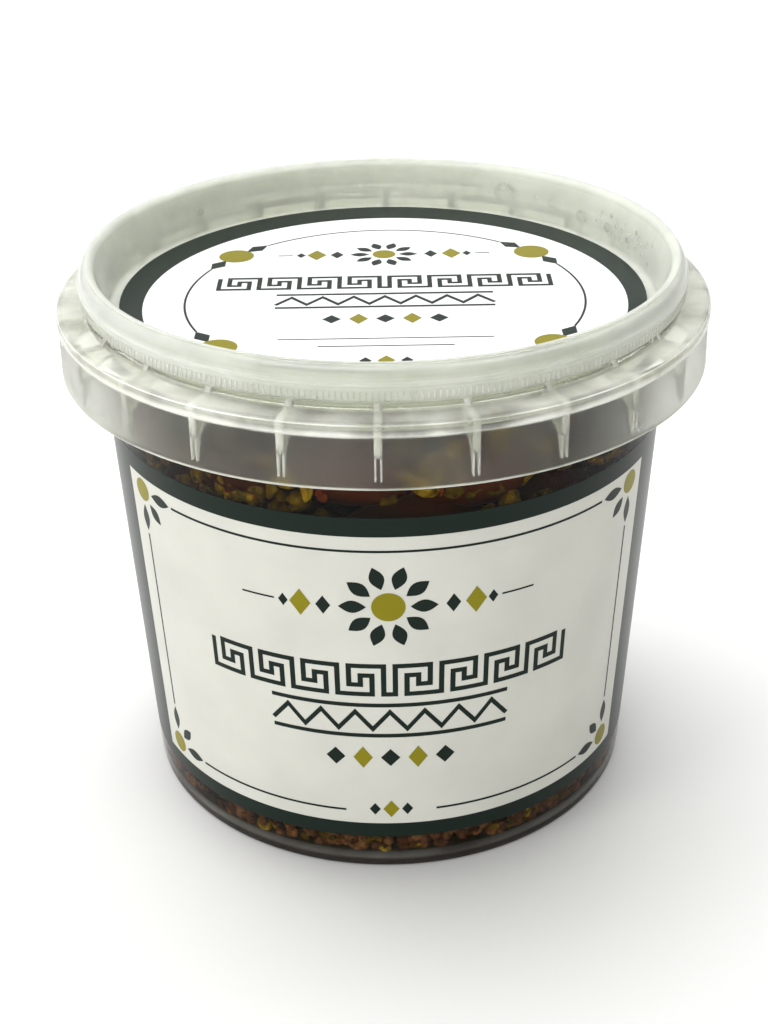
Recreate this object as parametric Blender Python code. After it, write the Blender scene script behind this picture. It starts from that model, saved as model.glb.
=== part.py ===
"""Lidded clear plastic tub of marinated olives, with a printed wrap and lid disc.

Metres, +Z up. The origin is the centre of the foot, on the surface the tub
stands on, and -Y is the front. Sizes below are in millimetres and are turned
into metres where each mesh is made.
"""

import math
import random

import bmesh
import bpy
from mathutils import Matrix, Vector

MM = 0.001

# Driving dimensions, in millimetres
TURN_STEPS = 72
FOOT_RADIUS = 41.2
WALL_SLOPE = 0.0476
WALL_THICKNESS = 0.8
GAP = 0.3
FOOT_INNER = 39.9
FLOOR_UNDER = 1.4
FLOOR_TOP = 2.4
FLOOR_ROUND = 1.4
SKIRT_RADIUS = 50.9
SKIRT_BOTTOM = 73.4
SKIRT_TOP_RADIUS = 50.7
SKIRT_THICKNESS = 0.7
LIP_RADIUS = 51.0
LIP_BOTTOM = 81.3
FLANGE_TOP = 83.2
FLANGE_UNDER = 82.0
RIM_FOOT = 80.9
RIM_INNER = 45.6
RIM_OUTER = 46.3
RIM_TOP = 88.6

LID_TOP = 89.8
LID_SKIRT_BOTTOM = 84.8
LID_SKIRT_RADIUS = 47.35
LID_WALL = 0.7
PANEL_TOP = 81.6
PANEL_UNDER = 80.8
RECESS_RADIUS = 43.1

RIB_COUNT = 24
RIB_THICKNESS = 1.0
RIB_TURN = math.radians(-8.7)

WRAP_BOTTOM = 6.4
WRAP_TOP = 65.6
WRAP_THICKNESS = 0.3
WRAP_BACKING = 0.4
DISC_RADIUS = 41.3

CORE_STEPS = 36
CORE_TOP = 73.6
CORE_DEPTH = 2.5
OLIVE_LENGTH = 22.5
OLIVE_WIDTH = 14.5
OLIVE_SIDES = (7, 5)
OLIVE_TAPER = 0.16
OLIVE_ROWS = (10.9, 71.6)
OLIVES_IN_ROW = 13
TOP_RINGS = ((30.0, 9), (15.5, 5), (0.0, 1))
TOP_SINK = 1.8
GARLIC_ROWS = ((6.2, 16), (68.2, 15), (72.4, 11))
GARLIC_SIZE = (3.8, 5.6)
START_RADIUS = 34.0
HEAP_CLEARANCE = 0.36
SNUG_STEPS = 6
SEED = 17


def wall_radius(height):
    """Outer radius of the tub's tapered wall at a height."""
    return FOOT_RADIUS + WALL_SLOPE * height


def inner_radius(height):
    """Inner radius of the wall, thicker behind the recess that the wrap lies in."""
    behind_wrap = height < WRAP_TOP + 1
    return wall_radius(height) - WALL_THICKNESS - (WRAP_BACKING if behind_wrap else 0)


def arc(centre_r, centre_z, radius, start, end, steps):
    """Points of an arc in the outline's plane, angles in degrees from +r."""
    points = []
    for step in range(steps + 1):
        angle = math.radians(start + (end - start) * step / steps)
        points.append((centre_r + radius * math.cos(angle), centre_z + radius * math.sin(angle)))
    return points


def material(name, colour, roughness, alpha=1.0, transmission=0.0):
    """A Principled material of one colour."""
    made = bpy.data.materials.new(name)
    made.use_nodes = True
    shader = made.node_tree.nodes["Principled BSDF"]
    shader.inputs["Base Color"].default_value = (*colour, 1.0)
    shader.inputs["Roughness"].default_value = roughness
    shader.inputs["Metallic"].default_value = 0.0
    shader.inputs["Alpha"].default_value = alpha
    shader.inputs["Transmission Weight"].default_value = transmission
    made.diffuse_color = (*colour, alpha)
    return made


def add_object(name, mesh, surface=None):
    """Put a mesh in the scene as a named object, shaded smooth but at its corners."""
    if surface:
        mesh.materials.append(surface)
    mesh.shade_smooth()
    mesh.set_sharp_from_angle(angle=math.radians(35))
    made = bpy.data.objects.new(name, mesh)
    bpy.context.scene.collection.objects.link(made)
    return made


def turned(name, outline, surface, closed=False, steps=TURN_STEPS):
    """Turn an outline of (radius, height) points about Z with a Screw.

    The outline runs up the inside and down the outer side. A closed outline
    makes a ring, and an open one starts and ends on the axis.
    """
    count = len(outline)
    edges = [(i, i + 1) for i in range(count - 1)]
    if closed:
        edges.append((count - 1, 0))
    mesh = bpy.data.meshes.new(name)
    mesh.from_pydata([(r * MM, 0, z * MM) for r, z in outline], edges, [])
    made = add_object(name, mesh, surface)
    made.rotation_euler.z = RIB_TURN
    screw = made.modifiers.new("turn", "SCREW")
    screw.axis = "Z"
    screw.steps = steps
    screw.render_steps = steps
    screw.use_merge_vertices = True
    screw.merge_threshold = 0.00001
    screw.use_smooth_shade = True
    return made


def join(target, tool):
    """Join another object on with a live union."""
    boolean = target.modifiers.new(tool.name, "BOOLEAN")
    boolean.operation = "UNION"
    boolean.object = tool
    boolean.solver = "EXACT"


def hide_helper(helper):
    """Keep a helper out of renders, drawn as wire."""
    helper.hide_render = True
    helper.display_type = "WIRE"


def tub_outline():
    """The tub from the middle of its floor, over its rim and lipped flange, to its underside."""
    recess = WRAP_THICKNESS + GAP
    inside = [(0, FLOOR_TOP)]
    corner = inner_radius(FLOOR_TOP) - FLOOR_ROUND
    inside += arc(corner, FLOOR_TOP + FLOOR_ROUND, FLOOR_ROUND, -90, 0, 3)
    inside += [
        (inner_radius(WRAP_TOP), WRAP_TOP),
        (inner_radius(WRAP_TOP + 2), WRAP_TOP + 2),
        (inner_radius(RIM_FOOT), RIM_FOOT),
    ]
    rim = [
        (RIM_INNER, RIM_TOP - 0.3),
        (RIM_INNER + 0.2, RIM_TOP),
        (RIM_OUTER - 0.2, RIM_TOP),
        (RIM_OUTER, RIM_TOP - 0.3),
    ]
    ledge = [
        (RIM_OUTER, FLANGE_TOP + 0.8),
        (RIM_OUTER + 0.25, FLANGE_TOP + 0.25),
        (RIM_OUTER + 0.8, FLANGE_TOP),
    ]
    edge = arc(LIP_RADIUS - 0.6, FLANGE_TOP - 0.6, 0.6, 90, 0, 2)
    skirt = [
        (LIP_RADIUS, LIP_BOTTOM + 0.3),
        (SKIRT_TOP_RADIUS, LIP_BOTTOM),
        (SKIRT_RADIUS, SKIRT_BOTTOM + 0.2),
        (SKIRT_RADIUS - 0.2, SKIRT_BOTTOM),
        (SKIRT_RADIUS - SKIRT_THICKNESS, SKIRT_BOTTOM),
        (SKIRT_TOP_RADIUS - SKIRT_THICKNESS, FLANGE_UNDER - 1.0),
        (SKIRT_TOP_RADIUS - SKIRT_THICKNESS - 1.0, FLANGE_UNDER),
    ]
    under = [
        (RIM_OUTER + 0.7, FLANGE_UNDER),
        (RIM_OUTER - 0.6, FLANGE_UNDER + 0.9),
        (wall_radius(FLANGE_UNDER + 0.8), FLANGE_UNDER + 0.8),
    ]
    outside = [
        (wall_radius(WRAP_TOP + 0.6), WRAP_TOP + 0.6),
        (wall_radius(WRAP_TOP) - recess, WRAP_TOP + GAP),
        (wall_radius(WRAP_BOTTOM) - recess, WRAP_BOTTOM - GAP),
        (wall_radius(WRAP_BOTTOM - 0.6), WRAP_BOTTOM - 0.6),
    ]
    foot = arc(FOOT_RADIUS - 0.55, 0.6, 0.6, 0, -90, 2)
    foot += [
        (FOOT_INNER, 0),
        (FOOT_INNER - 0.4, FLOOR_UNDER - 0.5),
        (FOOT_INNER - 0.9, FLOOR_UNDER),
        (0, FLOOR_UNDER),
    ]
    return inside + rim + ledge + edge + skirt + under + outside + foot


def lid_outline():
    """The lid from the middle of its sunken panel, over its raised rim, to its underside."""
    panel = [(0, PANEL_TOP), (RECESS_RADIUS - 0.5, PANEL_TOP), (RECESS_RADIUS, PANEL_TOP + 0.5)]
    crest = [
        (RECESS_RADIUS + 1.4, LID_TOP - 1.3),
        (RECESS_RADIUS + 1.75, LID_TOP - 0.5),
        (RECESS_RADIUS + 2.35, LID_TOP),
        (RECESS_RADIUS + 3.1, LID_TOP - 0.1),
        (RECESS_RADIUS + 3.65, LID_TOP - 0.8),
        (LID_SKIRT_RADIUS - 0.15, LID_TOP - 2.2),
    ]
    skirt = [
        (LID_SKIRT_RADIUS, LID_SKIRT_BOTTOM),
        (LID_SKIRT_RADIUS - 0.6, LID_SKIRT_BOTTOM),
        (RIM_OUTER + GAP, RIM_TOP),
        (RIM_OUTER, RIM_TOP + GAP),
        (RIM_INNER, RIM_TOP + GAP),
        (RIM_INNER - GAP, RIM_TOP - 0.3),
    ]
    under = [(RECESS_RADIUS + LID_WALL, PANEL_TOP), (RECESS_RADIUS - 0.1, PANEL_UNDER), (0, PANEL_UNDER)]
    return panel + crest + skirt + under


def rib_mesh():
    """The gussets that stiffen the skirt, narrow at its lower edge and wide under the flange."""
    outline = [
        (wall_radius(FLANGE_UNDER) - 0.35, FLANGE_UNDER + 0.7),
        (LIP_RADIUS - 0.5, FLANGE_UNDER + 0.7),
        (SKIRT_RADIUS - 0.3, SKIRT_BOTTOM + 0.7),
        (SKIRT_RADIUS - SKIRT_THICKNESS - 0.5, SKIRT_BOTTOM + 0.7),
        (SKIRT_RADIUS - SKIRT_THICKNESS - 1.7, SKIRT_BOTTOM + 4.4),
        (wall_radius(FLANGE_UNDER) - 0.35, FLANGE_UNDER - 1.3),
    ]
    shape = bmesh.new()
    for rib in range(RIB_COUNT):
        turn = Matrix.Rotation(math.tau * (rib + 0.5) / RIB_COUNT, 3, "Z")
        sides = []
        for side in (-0.5, 0.5):
            offset = side * RIB_THICKNESS * MM
            sides.append([shape.verts.new(turn @ Vector((r * MM, offset, z * MM))) for r, z in outline])
        shape.faces.new(sides[0])
        shape.faces.new(list(reversed(sides[1])))
        count = len(outline)
        for i in range(count):
            after = (i + 1) % count
            shape.faces.new((sides[0][after], sides[0][i], sides[1][i], sides[1][after]))
    bmesh.ops.recalc_face_normals(shape, faces=shape.faces[:])
    mesh = bpy.data.meshes.new("ribs")
    shape.to_mesh(mesh)
    shape.free()
    return mesh


def snug(points):
    """Slide a piece straight out until it nearly touches the wall, and keep it off the floor."""
    lift = max(0.0, FLOOR_TOP + 3 * GAP - min(p.z for p in points))
    points = [p + Vector((0, 0, lift)) for p in points]
    middle = sum(points, Vector()) / len(points)
    outward = Vector((middle.x, middle.y, 0)).normalized()
    for _ in range(SNUG_STEPS):
        room = min(inner_radius(p.z) - HEAP_CLEARANCE - p.xy.length for p in points)
        points = [p + outward * room for p in points]
    return points


def olive_points(shape, draw, turn, place):
    """Move the points of a round blank into an olive, fuller towards its stalk end."""
    length = OLIVE_LENGTH * draw.uniform(0.92, 1.06)
    width = OLIVE_WIDTH * draw.uniform(0.93, 1.05)
    points = []
    for vert in shape.verts:
        along = vert.co.z
        taper = 1 - OLIVE_TAPER * along
        local = Vector((vert.co.x * width * taper, vert.co.y * width * taper, along * length)) / 2
        points.append(turn @ local + place)
    return points


def add_piece(name, blank, points, helpers):
    """Add one piece of the heap, in millimetres, to the helpers' collection."""
    for vert, point in zip(blank.verts, points):
        vert.co = point * MM
    mesh = bpy.data.meshes.new(name)
    blank.to_mesh(mesh)
    blank.free()
    piece = bpy.data.objects.new(name, mesh)
    helpers.objects.link(piece)


def round_blank(segments, rings):
    """A closed round mesh of radius 1 about the origin."""
    blank = bmesh.new()
    bmesh.ops.create_uvsphere(blank, u_segments=segments, v_segments=rings, radius=1.0)
    return blank


def add_olives(draw, helpers):
    """Olives along the wall at the heights that show, and a layer over the top."""
    for row, height in enumerate(OLIVE_ROWS):
        for place in range(OLIVES_IN_ROW):
            angle = math.tau * (place + 0.5 * (row % 2) + draw.uniform(-0.12, 0.12)) / OLIVES_IN_ROW
            blank = round_blank(*OLIVE_SIDES)
            tilt = Matrix.Rotation(math.pi / 2 + draw.uniform(-0.5, 0.5), 3, "X")
            turn = Matrix.Rotation(angle, 3, "Z") @ tilt
            centre = Vector((math.cos(angle), math.sin(angle), 0)) * START_RADIUS
            centre.z = height + draw.uniform(-1.2, 1.2)
            points = snug(olive_points(blank, draw, turn, centre))
            add_piece(f"olive_{row}_{place}", blank, points, helpers)
    for radius, count in TOP_RINGS:
        for place in range(count):
            angle = math.tau * (place + draw.uniform(-0.15, 0.15)) / count
            blank = round_blank(*OLIVE_SIDES)
            tilt = Matrix.Rotation(math.pi / 2 + draw.uniform(-0.25, 0.25), 3, "X")
            turn = Matrix.Rotation(draw.uniform(0, math.tau), 3, "Z") @ tilt
            centre = Vector((math.cos(angle) * radius, math.sin(angle) * radius, CORE_TOP - TOP_SINK))
            add_piece(f"top_{radius:.0f}_{place}", blank, olive_points(blank, draw, turn, centre), helpers)


def add_garlic(draw, helpers):
    """Chopped garlic against the wall, in the two strips that the wrap leaves clear."""
    for row, (height, count) in enumerate(GARLIC_ROWS):
        for place in range(count):
            angle = math.tau * (place + draw.uniform(-0.3, 0.3)) / count
            blank = bmesh.new()
            bmesh.ops.create_icosphere(blank, subdivisions=1, radius=1.0)
            size = Vector([draw.uniform(*GARLIC_SIZE) / 2 for _ in range(3)])
            turn = Matrix.Rotation(draw.uniform(0, math.tau), 3, "Z")
            centre = Vector((math.cos(angle), math.sin(angle), 0)) * START_RADIUS
            centre.z = height + draw.uniform(-1, 1)
            points = snug([turn @ (v.co * size) + centre for v in blank.verts])
            add_piece(f"garlic_{row}_{place}", blank, points, helpers)


def build_heap(surface):
    """The olives and garlic as one solid: a core with the pieces that show joined on."""
    outline = [
        (0, CORE_TOP),
        (inner_radius(CORE_TOP) - CORE_DEPTH - 1.5, CORE_TOP),
        (inner_radius(CORE_TOP) - CORE_DEPTH, CORE_TOP - 1.5),
        (inner_radius(FLOOR_TOP + 3) - CORE_DEPTH, FLOOR_TOP + 3),
        (inner_radius(FLOOR_TOP) - CORE_DEPTH - 2.5, FLOOR_TOP + 2 * GAP),
        (0, FLOOR_TOP + 2 * GAP),
    ]
    heap = turned("olives", outline, surface, steps=CORE_STEPS)
    helpers = bpy.data.collections.new("heap_pieces")
    bpy.context.scene.collection.children.link(helpers)
    draw = random.Random(SEED)
    add_olives(draw, helpers)
    add_garlic(draw, helpers)
    boolean = heap.modifiers.new("pieces", "BOOLEAN")
    boolean.operation = "UNION"
    boolean.operand_type = "COLLECTION"
    boolean.collection = helpers
    boolean.solver = "MANIFOLD"
    bpy.context.view_layer.update()
    graph = bpy.context.evaluated_depsgraph_get()
    joined = bpy.data.meshes.new_from_object(heap.evaluated_get(graph))
    heap.modifiers.clear()
    heap.data = joined
    for piece in list(helpers.objects):
        bpy.data.objects.remove(piece)
    bpy.data.collections.remove(helpers)
    return heap


def build_tub(surface):
    """The tub with its flange, tamper skirt and gussets, all one moulding."""
    tub = turned("tub", tub_outline(), surface)
    ribs = add_object("ribs", rib_mesh())
    ribs.rotation_euler.z = RIB_TURN
    hide_helper(ribs)
    join(tub, ribs)
    return tub


def build_wrap(surface):
    """The printed wrap, flush in the wall's shallow recess."""
    outline = [
        (wall_radius(WRAP_BOTTOM) - WRAP_THICKNESS, WRAP_BOTTOM),
        (wall_radius(WRAP_TOP) - WRAP_THICKNESS, WRAP_TOP),
        (wall_radius(WRAP_TOP), WRAP_TOP),
        (wall_radius(WRAP_BOTTOM), WRAP_BOTTOM),
    ]
    return turned("tub_label", outline, surface, closed=True)


def build_disc(surface):
    """The printed disc on the lid's sunken panel."""
    top = PANEL_TOP + GAP + WRAP_THICKNESS
    outline = [(0, top), (DISC_RADIUS, top), (DISC_RADIUS, top - WRAP_THICKNESS), (0, top - WRAP_THICKNESS)]
    return turned("lid_label", outline, surface)


def main():
    """Clear the scene and build every piece."""
    for existing in list(bpy.data.objects):
        bpy.data.objects.remove(existing)
    clear_plastic = material("clear_plastic", (0.80, 0.82, 0.78), 0.2, alpha=0.45, transmission=0.8)
    lid_plastic = material("lid_plastic", (0.82, 0.84, 0.80), 0.3, alpha=0.55, transmission=0.6)
    wrap_print = material("wrap_print", (0.62, 0.62, 0.56), 0.45)
    disc_print = material("disc_print", (0.85, 0.87, 0.86), 0.4)
    marinade = material("marinade", (0.06, 0.02, 0.01), 0.25)
    build_tub(clear_plastic)
    turned("lid", lid_outline(), lid_plastic)
    build_wrap(wrap_print)
    build_disc(disc_print)
    build_heap(marinade)


main()
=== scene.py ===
"""Looks of a shut, clear plastic tub of marinated olives with a printed wrap and lid disc.

Metres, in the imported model's frame: +Z up, the tub's axis on the Z axis, its foot
on z = 0 and the front of the wrap towards -Y.
"""

import logging
import math
import random
from dataclasses import dataclass, field
from enum import Enum
from typing import Any, Callable, Iterable, Sequence

import bmesh
import bpy
from mathutils import Matrix, Vector, noise


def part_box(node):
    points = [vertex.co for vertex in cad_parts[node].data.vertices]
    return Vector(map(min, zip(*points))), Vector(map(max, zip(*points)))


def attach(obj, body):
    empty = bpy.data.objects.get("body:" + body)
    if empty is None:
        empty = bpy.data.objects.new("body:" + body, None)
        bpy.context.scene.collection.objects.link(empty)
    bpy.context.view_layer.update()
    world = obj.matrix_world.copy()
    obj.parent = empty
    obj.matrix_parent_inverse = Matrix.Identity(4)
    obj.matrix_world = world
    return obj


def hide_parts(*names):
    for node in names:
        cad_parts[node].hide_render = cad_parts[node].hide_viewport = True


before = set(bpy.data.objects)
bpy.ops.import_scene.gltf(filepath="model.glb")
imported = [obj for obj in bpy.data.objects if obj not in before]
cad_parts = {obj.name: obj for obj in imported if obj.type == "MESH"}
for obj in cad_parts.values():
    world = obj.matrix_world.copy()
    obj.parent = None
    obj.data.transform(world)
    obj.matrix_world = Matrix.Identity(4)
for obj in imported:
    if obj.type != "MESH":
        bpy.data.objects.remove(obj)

LOG = logging.getLogger("tub")
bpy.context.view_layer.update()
MM = 0.001
TURN_STEPS = 240
TUB_FLOOR = 0.0024
SMOOTH_ANGLE = math.radians(32)

Point2 = tuple[float, float]
Colour = tuple[float, float, float]


class Ink(Enum):
    """The colours that the pack is printed in, in linear light."""

    PAPER = (0.66, 0.66, 0.60)
    LID_PAPER = (0.90, 0.92, 0.92)
    GREEN = (0.0080, 0.0165, 0.0125)
    OCHRE = (0.250, 0.218, 0.008)


class Marinade(Enum):
    """Kinds of small pieces in the oil."""

    GARLIC = "garlic"
    PULP = "pulp"
    HERB = "herb"
    CHILLI = "chilli"


# Shared measures of the tapered wall


@dataclass(frozen=True)
class Wall:
    """The tapered wall that the wrap, the contents and the skirt are laid out from."""

    foot_radius: float = 0.0412
    slope: float = 0.0476
    thickness: float = 0.0008

    def outer(self, height: float) -> float:
        """Return the wall's outer radius at a height."""
        return self.foot_radius + self.slope * height

    def inner(self, height: float) -> float:
        """Return the wall's inner radius at a height."""
        return self.outer(height) - self.thickness


WALL = Wall()


# Node trees


class Nodes:
    """Adds nodes to one tree and joins them."""

    def __init__(self, tree: bpy.types.NodeTree) -> None:
        """Keep the tree that the nodes go in.

        Args:
            tree: A shader or geometry tree.
        """
        self.tree = tree

    def add(self, kind: str, inputs: dict[Any, Any] | None = None, **settings: Any) -> bpy.types.Node:
        """Add a node.

        Args:
            kind: The node's type name.
            inputs: Values or output sockets, by input name or number.
            **settings: Properties set on the node first.

        Returns:
            The new node.
        """
        node = self.tree.nodes.new(kind)
        for name, value in settings.items():
            setattr(node, name, value)
        self.fill(node, inputs or {})
        return node

    def fill(self, node: bpy.types.Node, inputs: dict[Any, Any]) -> None:
        """Set a node's inputs to values, or join them to output sockets."""
        for key, value in inputs.items():
            if isinstance(value, bpy.types.NodeSocket):
                self.tree.links.new(value, node.inputs[key])
            else:
                node.inputs[key].default_value = value

    def math(self, operation: str, *values: Any) -> bpy.types.NodeSocket:
        """Return the result of a Math node on these values or sockets."""
        node = self.add("ShaderNodeMath", dict(enumerate(values)), operation=operation)
        return node.outputs[0]

    def map_range(self, value: Any, given: Point2, wanted: Point2) -> bpy.types.NodeSocket:
        """Return a value stretched from one range to another."""
        ends = {1: given[0], 2: given[1], 3: wanted[0], 4: wanted[1]}
        return self.add("ShaderNodeMapRange", {0: value, **ends}).outputs[0]

    def trait(self, name: str) -> bpy.types.NodeSocket:
        """Return the number that a mesh stores at its points under a name."""
        return self.add("ShaderNodeAttribute", attribute_name=name).outputs["Fac"]

    def see_through(self, tint: Colour) -> bpy.types.NodeSocket:
        """Return a see-through shader of a tint."""
        return self.add("ShaderNodeBsdfTransparent", {"Color": (*tint, 1.0)}).outputs[0]

    def blend(
        self, share: Any, first: bpy.types.NodeSocket, second: bpy.types.NodeSocket
    ) -> bpy.types.NodeSocket:
        """Return a blend of two shaders, with this share of the second."""
        return self.add("ShaderNodeMixShader", {0: share, 1: first, 2: second}).outputs[0]


def new_material(name: str) -> tuple[bpy.types.Material, Nodes, bpy.types.Node, bpy.types.Node]:
    """Make a material with a Principled shader.

    Args:
        name: The material's name.

    Returns:
        The material, its nodes, its Principled shader and its output.
    """
    made = bpy.data.materials.new(name)
    made.use_nodes = True
    tree = made.node_tree
    return made, Nodes(tree), tree.nodes["Principled BSDF"], tree.nodes["Material Output"]


def grain(nodes: Nodes, scale: float, detail: float = 3.0, roughness: float = 0.5) -> bpy.types.Node:
    """Return a noise texture on Object coordinates, its scale in bumps per metre."""
    place = nodes.add("ShaderNodeTexCoord")
    return nodes.add(
        "ShaderNodeTexNoise",
        {"Vector": place.outputs["Object"], "Scale": scale, "Detail": detail, "Roughness": roughness},
    )


def ramp(
    nodes: Nodes, value: bpy.types.NodeSocket, stops: Sequence[tuple[float, Colour]]
) -> bpy.types.NodeSocket:
    """Return a colour ramp's colour for a value."""
    node = nodes.add("ShaderNodeValToRGB", {0: value})
    ends = node.color_ramp.elements
    while len(ends) < len(stops):
        ends.new(0.5)
    for end, (place, colour) in zip(ends, stops):
        end.position = place
        end.color = (*colour, 1.0)
    return node.outputs["Color"]


def bump(nodes: Nodes, shader: bpy.types.Node, height: bpy.types.NodeSocket, depth: float) -> None:
    """Give a shader relief from a height, of a depth in metres."""
    relief = nodes.add("ShaderNodeBump", {"Height": height, "Distance": depth, "Strength": 1.0})
    nodes.fill(shader, {"Normal": relief.outputs["Normal"]})


# Finishes


@dataclass(frozen=True)
class ClearPlastic:
    """Moulded polypropylene, clear where it is thin and milky where the mesh's haze says so, and
    darkened by a painted shade at the foot where the mesh says so.
    """

    name: str
    colour: Colour = (0.85, 0.86, 0.79)
    # Painted shade: the dark colour the foot is darkened to, for the shadow under the tub and the
    # contents above.
    painted_shade_colour: Colour = (0.175, 0.155, 0.138)
    slant_colour: Colour = (0.36, 0.37, 0.34)
    slant_onset: float = 2.5
    slant_share: float = 0.62
    # Patchy milkiness, partly uneven haze and partly painted highlights: its bright patches stand in for
    # the lamps' reflections between the ledge's ribs.
    patches: float = 85.0
    milk_and_glint_patchiness: float = 1.0
    bending: float = 1.29
    smoothness: float = 0.04
    ripples: float = 420.0
    ripple: float = 0.00002
    shade: float = 0.76
    glow: float = 1.0
    glow_depth: float = 0.0015

    def build(self) -> bpy.types.Material:
        """Return the plastic: glass-like, letting lamps through to what is inside."""
        made, nodes, shader, out = new_material(self.name)
        # The foot is darkened towards a painted shade colour by the mesh's foot trait: painted shade for
        # the shadow under the tub.
        tint = ramp(nodes, nodes.trait("foot_shade"), ((0.0, self.colour), (1.0, self.painted_shade_colour)))
        slant = nodes.add("ShaderNodeLayerWeight", {"Blend": 0.5}).outputs["Facing"]
        longer = nodes.math("MULTIPLY", nodes.math("POWER", slant, self.slant_onset), self.slant_share)
        tinted = nodes.add("ShaderNodeMix", {0: longer, 6: tint, 7: (*self.slant_colour, 1.0)},
                           data_type="RGBA", blend_type="MULTIPLY")
        nodes.fill(shader, {
            "Base Color": tinted.outputs[2],
            "IOR": self.bending,
            "Subsurface Weight": self.glow,
            "Subsurface Scale": self.glow_depth,
            "Subsurface Radius": (1.0, 1.0, 0.9),
            "Transmission Weight": self.clearness(nodes, slant),
            "Roughness": nodes.math("ADD", nodes.trait("frost"), self.smoothness),
        })
        bump(nodes, shader, grain(nodes, self.ripples).outputs["Fac"], self.ripple)
        shadow = nodes.add("ShaderNodeLightPath").outputs["Is Shadow Ray"]
        passed = nodes.see_through((self.shade, self.shade, self.shade))
        nodes.fill(out, {"Surface": nodes.blend(shadow, shader.outputs[0], passed)})
        return made

    def clearness(self, nodes: Nodes, slant: bpy.types.NodeSocket) -> bpy.types.NodeSocket:
        """Return how clear the plastic is, less where it is milky and less on a slanting way through."""
        # Uneven haze whose bright patches are also painted highlights, standing in for reflections of
        # the lamps.
        cloud = grain(nodes, self.patches, detail=4.0).outputs["Fac"]
        clearest, milkiest = 1 - 0.65 * self.milk_and_glint_patchiness, 1 + 0.75 * self.milk_and_glint_patchiness
        patchy = nodes.map_range(cloud, (0.36, 0.64), (clearest, milkiest))
        milky = nodes.math("MULTIPLY", nodes.trait("haze"), patchy)
        straight = nodes.add("ShaderNodeMath", {0: 1.0, 1: milky}, operation="SUBTRACT", use_clamp=True)
        across = nodes.math("MAXIMUM", nodes.math("SUBTRACT", 1.0, slant), 0.10)
        return nodes.math("POWER", straight.outputs[0], nodes.math("DIVIDE", 1.0, across))


@dataclass(frozen=True)
class WettedPlastic:
    """The tub's inner face below the oil, where oil as dense as the plastic leaves no reflection."""

    name: str = "wetted_plastic"
    tint: Colour = (0.97, 0.97, 0.95)

    def build(self) -> bpy.types.Material:
        """Return the see-through face."""
        made, nodes, _, out = new_material(self.name)
        nodes.fill(out, {"Surface": nodes.see_through(self.tint)})
        return made


@dataclass(frozen=True)
class PrintedFilm:
    """One ink of the printed film, satin with the orange peel of moulded film."""

    name: str
    ink: Ink
    gloss: float = 0.12
    roughness: float = 0.28
    bending: float = 1.48
    peel: float = 0.000012

    def build(self) -> bpy.types.Material:
        """Return the ink, a little uneven in tone."""
        made, nodes, shader, _ = new_material(self.name)
        red, green, blue = self.ink.value
        mottle = grain(nodes, 90.0, detail=4.0)
        low = (red * 0.95, green * 0.95, blue * 0.95)
        high = (min(1, red * 1.04), min(1, green * 1.04), min(1, blue * 1.04))
        nodes.fill(shader, {
            "Base Color": ramp(nodes, mottle.outputs["Fac"], ((0.3, low), (0.7, high))),
            "Roughness": self.roughness,
            "IOR": self.bending,
            "Specular IOR Level": self.gloss,
        })
        bump(nodes, shader, grain(nodes, 1500.0, detail=2.0).outputs["Fac"], self.peel)
        return made


@dataclass(frozen=True)
class OliveSkin:
    """Wrinkled skin of a dark olive in oil, brown-black to wine red from one to the next."""

    name: str = "olive_skin"
    stops: tuple[tuple[float, Colour], ...] = (
        (0.20, (0.014, 0.004, 0.004)),
        (0.50, (0.046, 0.011, 0.008)),
        (0.75, (0.075, 0.017, 0.011)),
        (0.95, (0.100, 0.030, 0.013)),
    )
    roughness: float = 0.30
    gloss: float = 0.06
    patches: float = 160.0
    wrinkles: float = 900.0
    wrinkle_depth: float = 0.00012

    def build(self) -> bpy.types.Material:
        """Return the skin."""
        made, nodes, shader, _ = new_material(self.name)
        patches = grain(nodes, self.patches, detail=5.0, roughness=0.6)
        share = nodes.math("ADD", nodes.math("MULTIPLY", nodes.trait("tone"), 0.6),
                           nodes.math("MULTIPLY", patches.outputs["Fac"], 0.5))
        nodes.fill(shader, {
            "Base Color": ramp(nodes, share, self.stops),
            "Roughness": self.roughness,
            "Specular IOR Level": self.gloss,
        })
        bump(nodes, shader, grain(nodes, self.wrinkles, detail=4.0).outputs["Fac"], self.wrinkle_depth)
        return made


@dataclass(frozen=True)
class Morsel:
    """The colours of one kind of small piece in the oil."""

    name: str
    stops: tuple[tuple[float, Colour], ...]
    roughness: float = 0.40
    gloss: float = 0.08
    patches: float = 900.0
    crumbs: float = 1100.0
    crumb_depth: float = 0.0003

    def build(self) -> bpy.types.Material:
        """Return the piece's material, its tone read from the piece and from grain."""
        made, nodes, shader, _ = new_material(self.name)
        patches = grain(nodes, self.patches, detail=5.0, roughness=0.62)
        share = nodes.math("ADD", nodes.math("MULTIPLY", nodes.trait("tone"), 0.5),
                           nodes.math("MULTIPLY_ADD", patches.outputs["Fac"], 1.3, -0.4))
        nodes.fill(shader, {
            "Base Color": ramp(nodes, share, self.stops),
            "Roughness": self.roughness,
            "Specular IOR Level": self.gloss,
        })
        bump(nodes, shader, grain(nodes, self.crumbs, detail=3.0).outputs["Fac"], self.crumb_depth)
        return made


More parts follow.
